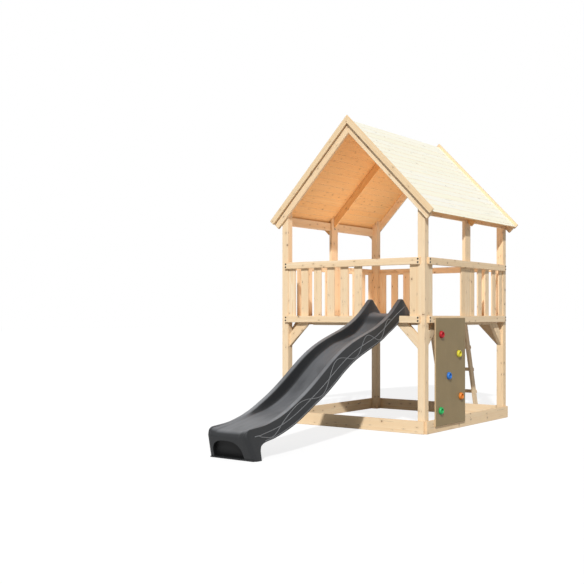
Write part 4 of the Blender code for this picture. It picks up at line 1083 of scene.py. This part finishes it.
rib_paths = [
    (straight_share, STRAIGHT_HEIGHTS[0][0], RIBS_MEET[0], RIB_RADIUS),
    (wave_share, 0.20, RIBS_MEET[0], RIB_RADIUS),
    (lambda run: LOW_SHARE, 0.05, 2.46, LOW_RADIUS),
]
for number, (share_at, start_run, end_run, radius) in enumerate(rib_paths, 1):
    spots, edges = [], []
    count = round((end_run - start_run) / RIB_STEP)
    for sign in (-1, 1):
        for k in range(count + 1):
            run = start_run + (end_run - start_run) * k / count
            spots.append(skirt_spot(run, share_at(run), sign))
            if k > 0:
                edges.append((len(spots) - 2, len(spots) - 1))
    path_mesh = bpy.data.meshes.new("rib_path")
    path_mesh.from_pydata(spots, edges, [])
    path = add_object("rib_path", path_mesh)
    values = {"Radius": radius, "Spacing": RIB_SPACING, "Sides": RIB_SIDES, "Finish": RIB_HIGHLIGHT_PLASTIC}
    add_tree(path, RIB_TREE, values)
    mesh = smooth(settle(path))
    finish_piece("skirt_ribs_" + str(number), mesh, [RIB_HIGHLIGHT_PLASTIC])
    print("rib", number, "faces:", len(mesh.polygons))

# %% [markdown]
# ## The climbing panel
# A sheet of plywood with a taupe film on its faces. The film has a fine mesh texture that
# gives grip, and the sawn edge shows the pale veneers, lighter and darker by turns. So the panel
# has two finishes: the film on its broad faces, and the edge, striped through its thickness.

# %% Panel finishes and piece
WEAVE = 2200.0  # of the film's mesh, in radians for a metre
VENEERS = 0.0052  # a pale and a dark veneer together, m
PANEL_ARRIS = 0.0012


def make_film():
    finish, start, shader = start_finish("panel_film")
    place = start.spot()
    _, along, up = place.parts()
    weave = (along * WEAVE).sine() * (up * WEAVE).sine()
    mottle = place.noise(3.0, 4.0, 0.6)
    speck = place.noise(240.0, 1.0).step(0.62, 0.74)
    scuff = place.noise((8.0, 30.0, 10.0), 3.0, 0.7).step(0.60, 0.72)
    film = start.paint(
        (0.275, 0.198, 0.090),
        ((0.235, 0.174, 0.084), mottle.step(0.35, 0.65) * 0.6),
        ((0.175, 0.125, 0.056), speck * 0.25),
        ((0.36, 0.30, 0.19), scuff * 0.22),
    )
    show(start, shader, film, 0.50 + mottle * 0.14, weave * 0.35 + speck * 0.3, 0.0002, 0.4)
    return finish


def make_ply_edge():
    finish, start, shader = start_finish("panel_edge")
    place = start.spot()
    waver = place.noise((4.0, 12.0, 12.0)) * 0.0008
    layer = ((place.parts()[0] + waver) / VENEERS).fraction().step(0.42, 0.50)
    fibre = place.noise((900.0, 60.0, 60.0))
    edge = start.paint(
        (0.62, 0.47, 0.28),
        ((0.40, 0.26, 0.13), layer * 0.75),
        ((0.30, 0.19, 0.09), fibre.step(0.55, 0.75) * 0.30),
    )
    show(start, shader, edge, 0.7, fibre * 0.5 - layer * 0.3, 0.0004, 0.5)
    return finish


def make_panel():
    shape = merged_copy("climbing_panel")
    ease(shape, PANEL_ARRIS)
    bmesh.ops.recalc_face_normals(shape, faces=shape.faces)
    for face in shape.faces:
        face.material_index = 0 if abs(face.normal.x) > 0.5 else 1
    return shape_to_mesh(shape, "panel_sheet")


mesh = make_panel()
finish_piece("panel_sheet", mesh, [make_film(), make_ply_edge()], ["climbing_panel"])
print("panel faces:", len(mesh.polygons))

# %% [markdown]
# ## Climbing holds
# Each hold is a squat moulded knob with soft shoulders and a dished face, held by a bolt that goes
# through the panel into a nut. A turned profile is right for it; a slow wave round the
# rim gives fingers a grip and keeps it from looking like a lathe exercise.

# %% Hold shape
HOLD_COLOURS = {
    "red": (0.42, 0.014, 0.020),
    "yellow": (0.62, 0.55, 0.040),
    "blue": (0.028, 0.16, 0.52),
    "orange": (0.66, 0.20, 0.026),
    "green": (0.024, 0.38, 0.10),
}
HOLD_PROFILE = [
    (0.0395, 0.0), (0.0420, 0.0012), (0.0425, 0.0040), (0.0425, 0.0085), (0.0421, 0.0125),
    (0.0410, 0.0165), (0.0394, 0.0205), (0.0374, 0.0240), (0.0352, 0.0268), (0.0333, 0.0286),
    (0.0315, 0.0297), (0.0297, 0.0300), (0.0280, 0.0292), (0.0265, 0.0272), (0.0253, 0.0240),
    (0.0243, 0.0200), (0.0234, 0.0160), (0.0226, 0.0125), (0.0218, 0.0110),
]
BOLT_PROFILE = [
    (0.0125, 0.0106), (0.0125, 0.0120), (0.0112, 0.0124), (0.0084, 0.0124), (0.0084, 0.0157),
    (0.0080, 0.0163), (0.0046, 0.0163), (0.0046, 0.0135),
]
NUT_PROFILE = [(0.0125, -0.0184), (0.0125, -0.0198), (0.0104, -0.0198), (0.0104, -0.0246)]
HOLD_SIDES, BOLT_SIDES, NUT_SIDES, HOLD_WAVE = 48, 24, 6, 0.012
TURNED_SHARP = 34.0  # degrees, for what is turned


def turn_profile(shape, profile, place, sides, wave=0.0, material=0):
    """Turn a profile about the local Z axis; the wave swells its radius five times round."""
    rings = []
    for radius, height in profile:
        ring = []
        for k in range(sides):
            angle = 2 * math.pi * k / sides
            r = radius * (1.0 + wave * math.cos(5 * angle))
            ring.append(place @ Vector((r * math.cos(angle), r * math.sin(angle), height)))
        rings.append(ring)
    for face in loft(shape, rings):
        face.material_index = material


# %% [markdown]
# ## Steel fasteners
# The bolts are plated and have gone dull and dark. Steel is the one metal here: fully
# metallic, a little rough, with darker grime in patches.

# %% Steel finish
def make_steel(name, colour, roughness):
    finish, start, shader = start_finish(name)
    place = start.spot()
    grime = place.noise(180.0, 3.0).step(0.40, 0.70)
    metal = start.paint(colour, ([c * 0.45 for c in colour], grime * 0.6))
    show(start, shader, metal, roughness + grime * 0.2, grime, 0.0001, 0.3)
    shader.inputs["Metallic"].default_value = 1.0
    return finish


STEEL = make_steel("dark_steel", (0.075, 0.072, 0.068), 0.45)

# %% Holds
panel_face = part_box("climbing_panel")[1].x
for word, colour in HOLD_COLOURS.items():
    low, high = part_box("hold_" + word)
    middle = (low + high) / 2
    spot = Vector((panel_face + FIT, middle.y, middle.z))
    place = Matrix.Translation(spot) @ Z.rotation_difference(X).to_matrix().to_4x4()
    shape = bmesh.new()
    turn_profile(shape, HOLD_PROFILE, place, HOLD_SIDES, HOLD_WAVE)
    turn_profile(shape, BOLT_PROFILE, place, BOLT_SIDES, 0.0, 1)
    turn_profile(shape, NUT_PROFILE, place, NUT_SIDES, 0.0, 1)
    mesh = smooth(shape_to_mesh(shape, "hold_" + word), TURNED_SHARP)
    plastic = make_plastic(word + "_plastic", colour, 0.36, 0.30, 2.0)
    finish_piece("grip_" + word, mesh, [plastic, STEEL], ["hold_" + word])
print("holds:", len(HOLD_COLOURS), "faces each:", len(mesh.polygons))

# %% [markdown]
# ## Bolts
# Round heads hold every rail to the posts, and the eaves beams to the middle posts. One head is
# modelled as a dome with a socket; a tree then sets a copy on every vertex of a small mesh of
# places, stands it up along that vertex's own direction and gives it a turn of its own.

# %% Fastener tree
def make_fastener_tree():
    tree, given, exit_node = new_tree(
        "heads_on_points", Head="Object", Spin="Float", Seed="Int", Finish="Material"
    )
    start = given["Geometry"]
    inputs = {"Name": "aim"}
    aim = start.node("GeometryNodeInputNamedAttribute", inputs, data_type="FLOAT_VECTOR")
    stand = start.node("FunctionNodeAlignRotationToVector", {"Vector": aim}, axis="Z")
    head = start.node("GeometryNodeObjectInfo", {"Object": given["Head"]}, "Geometry")
    inputs = {"Points": start, "Instance": head, "Rotation": stand}
    placed = start.node("GeometryNodeInstanceOnPoints", inputs)
    inputs = {3: given["Spin"], "Seed": given["Seed"]}
    spin = start.node("FunctionNodeRandomValue", inputs, 1, data_type="FLOAT")
    turn = start.node("ShaderNodeCombineXYZ", {"Z": spin})
    turn = start.node("FunctionNodeEulerToRotation", {0: turn})
    inputs = {"Instances": placed, "Rotation": turn, "Local Space": True}
    placed = start.node("GeometryNodeRotateInstances", inputs)
    tree.links.new(real_shape(placed, given["Finish"]).socket, exit_node.inputs[0])
    return tree


FASTENER_TREE = make_fastener_tree()
HEAD_RADIUS, HEAD_HEIGHT, HEAD_FOOT, HEAD_SIDES = 0.0102, 0.0052, -0.0012, 20


def make_head():
    """A domed head with a socket sunk in its crown, its foot a little under the surface."""
    shares = [(1.0, 0.45), (0.90, 0.80), (0.62, 1.0), (0.42, 1.0), (0.36, 0.45)]
    dome = [(HEAD_RADIUS, HEAD_FOOT)] + [(HEAD_RADIUS * r, HEAD_HEIGHT * h) for r, h in shares]
    shape = bmesh.new()
    turn_profile(shape, dome, Matrix.Identity(4), HEAD_SIDES)
    return smooth(shape_to_mesh(shape, "bolt"), TURNED_SHARP)


# %% Rail bolts
BEAM_BOLT_IN, BEAM_BOLT_UP, FULL_TURN = 0.0486, 2.465, 6.283
bolt_places = []
for side in OUT:
    reach = LONG[side] - POST + RAIL_LAP / 2
    for bottom in (RAIL_BOTTOM, SKIRT_BOTTOM):
        for share in (0.30, 0.75):
            for sign in (-1, 1):
                spot = side_spot(side, sign * reach, -RAIL_PROUD, bottom + share * RAIL_HEIGHT)
                bolt_places.append((spot, OUT[side]))
inner_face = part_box("eaves_beam_right")[1].x - BEAM_BOLT_IN
for sign in (-1, 1):
    bolt_places.append((Vector((sign * inner_face, SHIFT, BEAM_BOLT_UP)), X * -sign))

spots = bpy.data.meshes.new("rail_bolts")
spots.from_pydata([spot for spot, aim in bolt_places], [], [])
aims = spots.attributes.new("aim", "FLOAT_VECTOR", "POINT")
aims.data.foreach_set("vector", [c for spot, aim in bolt_places for c in aim])
piece = add_object("rail_bolt_places", spots)
pattern = bpy.data.objects.new("bolt_pattern", make_head())
add_tree(piece, FASTENER_TREE, {"Head": pattern, "Spin": FULL_TURN, "Seed": 3, "Finish": STEEL})
mesh = settle(piece)
bpy.data.objects.remove(pattern, do_unlink=True)
finish_piece("rail_bolts", mesh, [STEEL])
print("rail bolts:", len(bolt_places), "heads,", len(mesh.polygons), "faces")

# %% [markdown]
# ## Studio, light and camera
# A plain pale floor, one sun lamp high in front and to the right, where the picture has its sun,
# and an even white surround as fill. Two broad lamps inside the tower stand in for the light that
# its sunlit floor throws back. All of them are white and set to a plain level, at which a colour
# shows about as it is written. Through Light Path the camera and glossy reflections see a white
# background and a nearly white floor, while the light that both throw on the wood is that of the
# faint surround and of a mid grey floor.

# %% Stage and light
FILL, KEY_STRENGTH, KEY_SOFTNESS, KEY_FROM = 0.26, 3.20, 1.8, (0.80, -1.45, 1.22)
FLOOR_SIZE, FLOOR_DROP = 60.0, 0.0005
FLOOR_LIT, FLOOR_SEEN, FLOOR_MOTTLE = (0.45, 0.45, 0.45), (0.98, 0.98, 0.98), (0.40, 0.40, 0.40)
FLOOR_GLOW, GLOW_SHARE = 1.08, 0.75
DECK_BOUNCE, ROOF_BOUNCE = 8.0, 4.5  # watts


def seen_directly(start):
    """1 for the rays that show the background: from the camera, off gloss and through glass."""
    path = start.node("ShaderNodeLightPath")
    seen = path.out("Is Camera Ray").most(path.out("Is Glossy Ray"))
    return seen.most(path.out("Is Transmission Ray"))


def make_floor():
    shape = bmesh.new()
    bmesh.ops.create_grid(shape, x_segments=1, y_segments=1, size=FLOOR_SIZE)
    floor = add_object("studio_floor", shape_to_mesh(shape, "studio_floor"))
    floor.location.z = -FLOOR_DROP
    finish, start, shader = start_finish("studio_floor")
    place = start.spot()
    mottle = place.noise(0.8)
    seen = seen_directly(start)
    pale = start.paint(FLOOR_LIT, (FLOOR_SEEN, seen), (FLOOR_MOTTLE, mottle * 0.04))
    show(start, shader, pale, 0.9)
    inputs = {"Color": (1.0, 1.0, 1.0), "Strength": FLOOR_GLOW}
    glow = start.node("ShaderNodeEmission", inputs)
    surface = Wire(start.tree, shader.outputs["BSDF"])
    inputs = {0: seen * GLOW_SHARE, 1: surface, 2: glow}
    mixed = start.node("ShaderNodeMixShader", inputs)
    start.plug(start.tree.nodes["Material Output"].inputs["Surface"], mixed)
    floor.data.materials.append(finish)


def make_world():
    world = bpy.data.worlds.new("studio")
    bpy.context.scene.world = world
    world.use_nodes = True
    start = Wire(world.node_tree)
    background = world.node_tree.nodes["Background"]
    background.inputs["Color"].default_value = (1.0, 1.0, 1.0, 1.0)
    start.plug(background.inputs["Strength"], seen_directly(start) * (1.0 - FILL) + FILL)


def add_sun():
    lamp = bpy.data.lights.new("key", "SUN")
    lamp.energy, lamp.angle = KEY_STRENGTH, math.radians(KEY_SOFTNESS)
    turn = Vector(KEY_FROM).normalized().to_track_quat("Z", "Y")
    add_object("key", lamp).rotation_euler = turn.to_euler()


def add_bounce(name, height, size, power):
    """A broad, soft lamp that looks up, for the light that the sunlit floor throws back."""
    lamp = bpy.data.lights.new(name, "AREA")
    lamp.shape, lamp.energy = "RECTANGLE", power
    lamp.size, lamp.size_y = size
    glow = add_object(name, lamp)
    glow.location, glow.rotation_euler = (0.0, SHIFT, height), (math.pi, 0.0, 0.0)
    glow.visible_camera = False


make_floor()
make_world()
add_sun()
add_bounce("deck_bounce", FLOOR_TOP + 0.03, (1.7, 1.9), DECK_BOUNCE)
add_bounce("roof_bounce", 2.05, (1.3, 1.7), ROOF_BOUNCE)
print("lights: key, surround and bounce")

# %% Camera
camera_data = bpy.data.cameras.new("camera")
camera_data.sensor_width = 36.0
camera_data.lens = 56.98
camera_data.shift_y = 0.0396
camera = add_object("camera", camera_data)
camera.location = (5.9508, -9.0095, 1.3230)
camera.rotation_euler = (math.radians(90.0), 0.0, math.radians(36.774))
bpy.context.scene.camera = camera
bpy.context.scene.view_settings.view_transform = "Standard"
print("camera height:", camera.location.z)
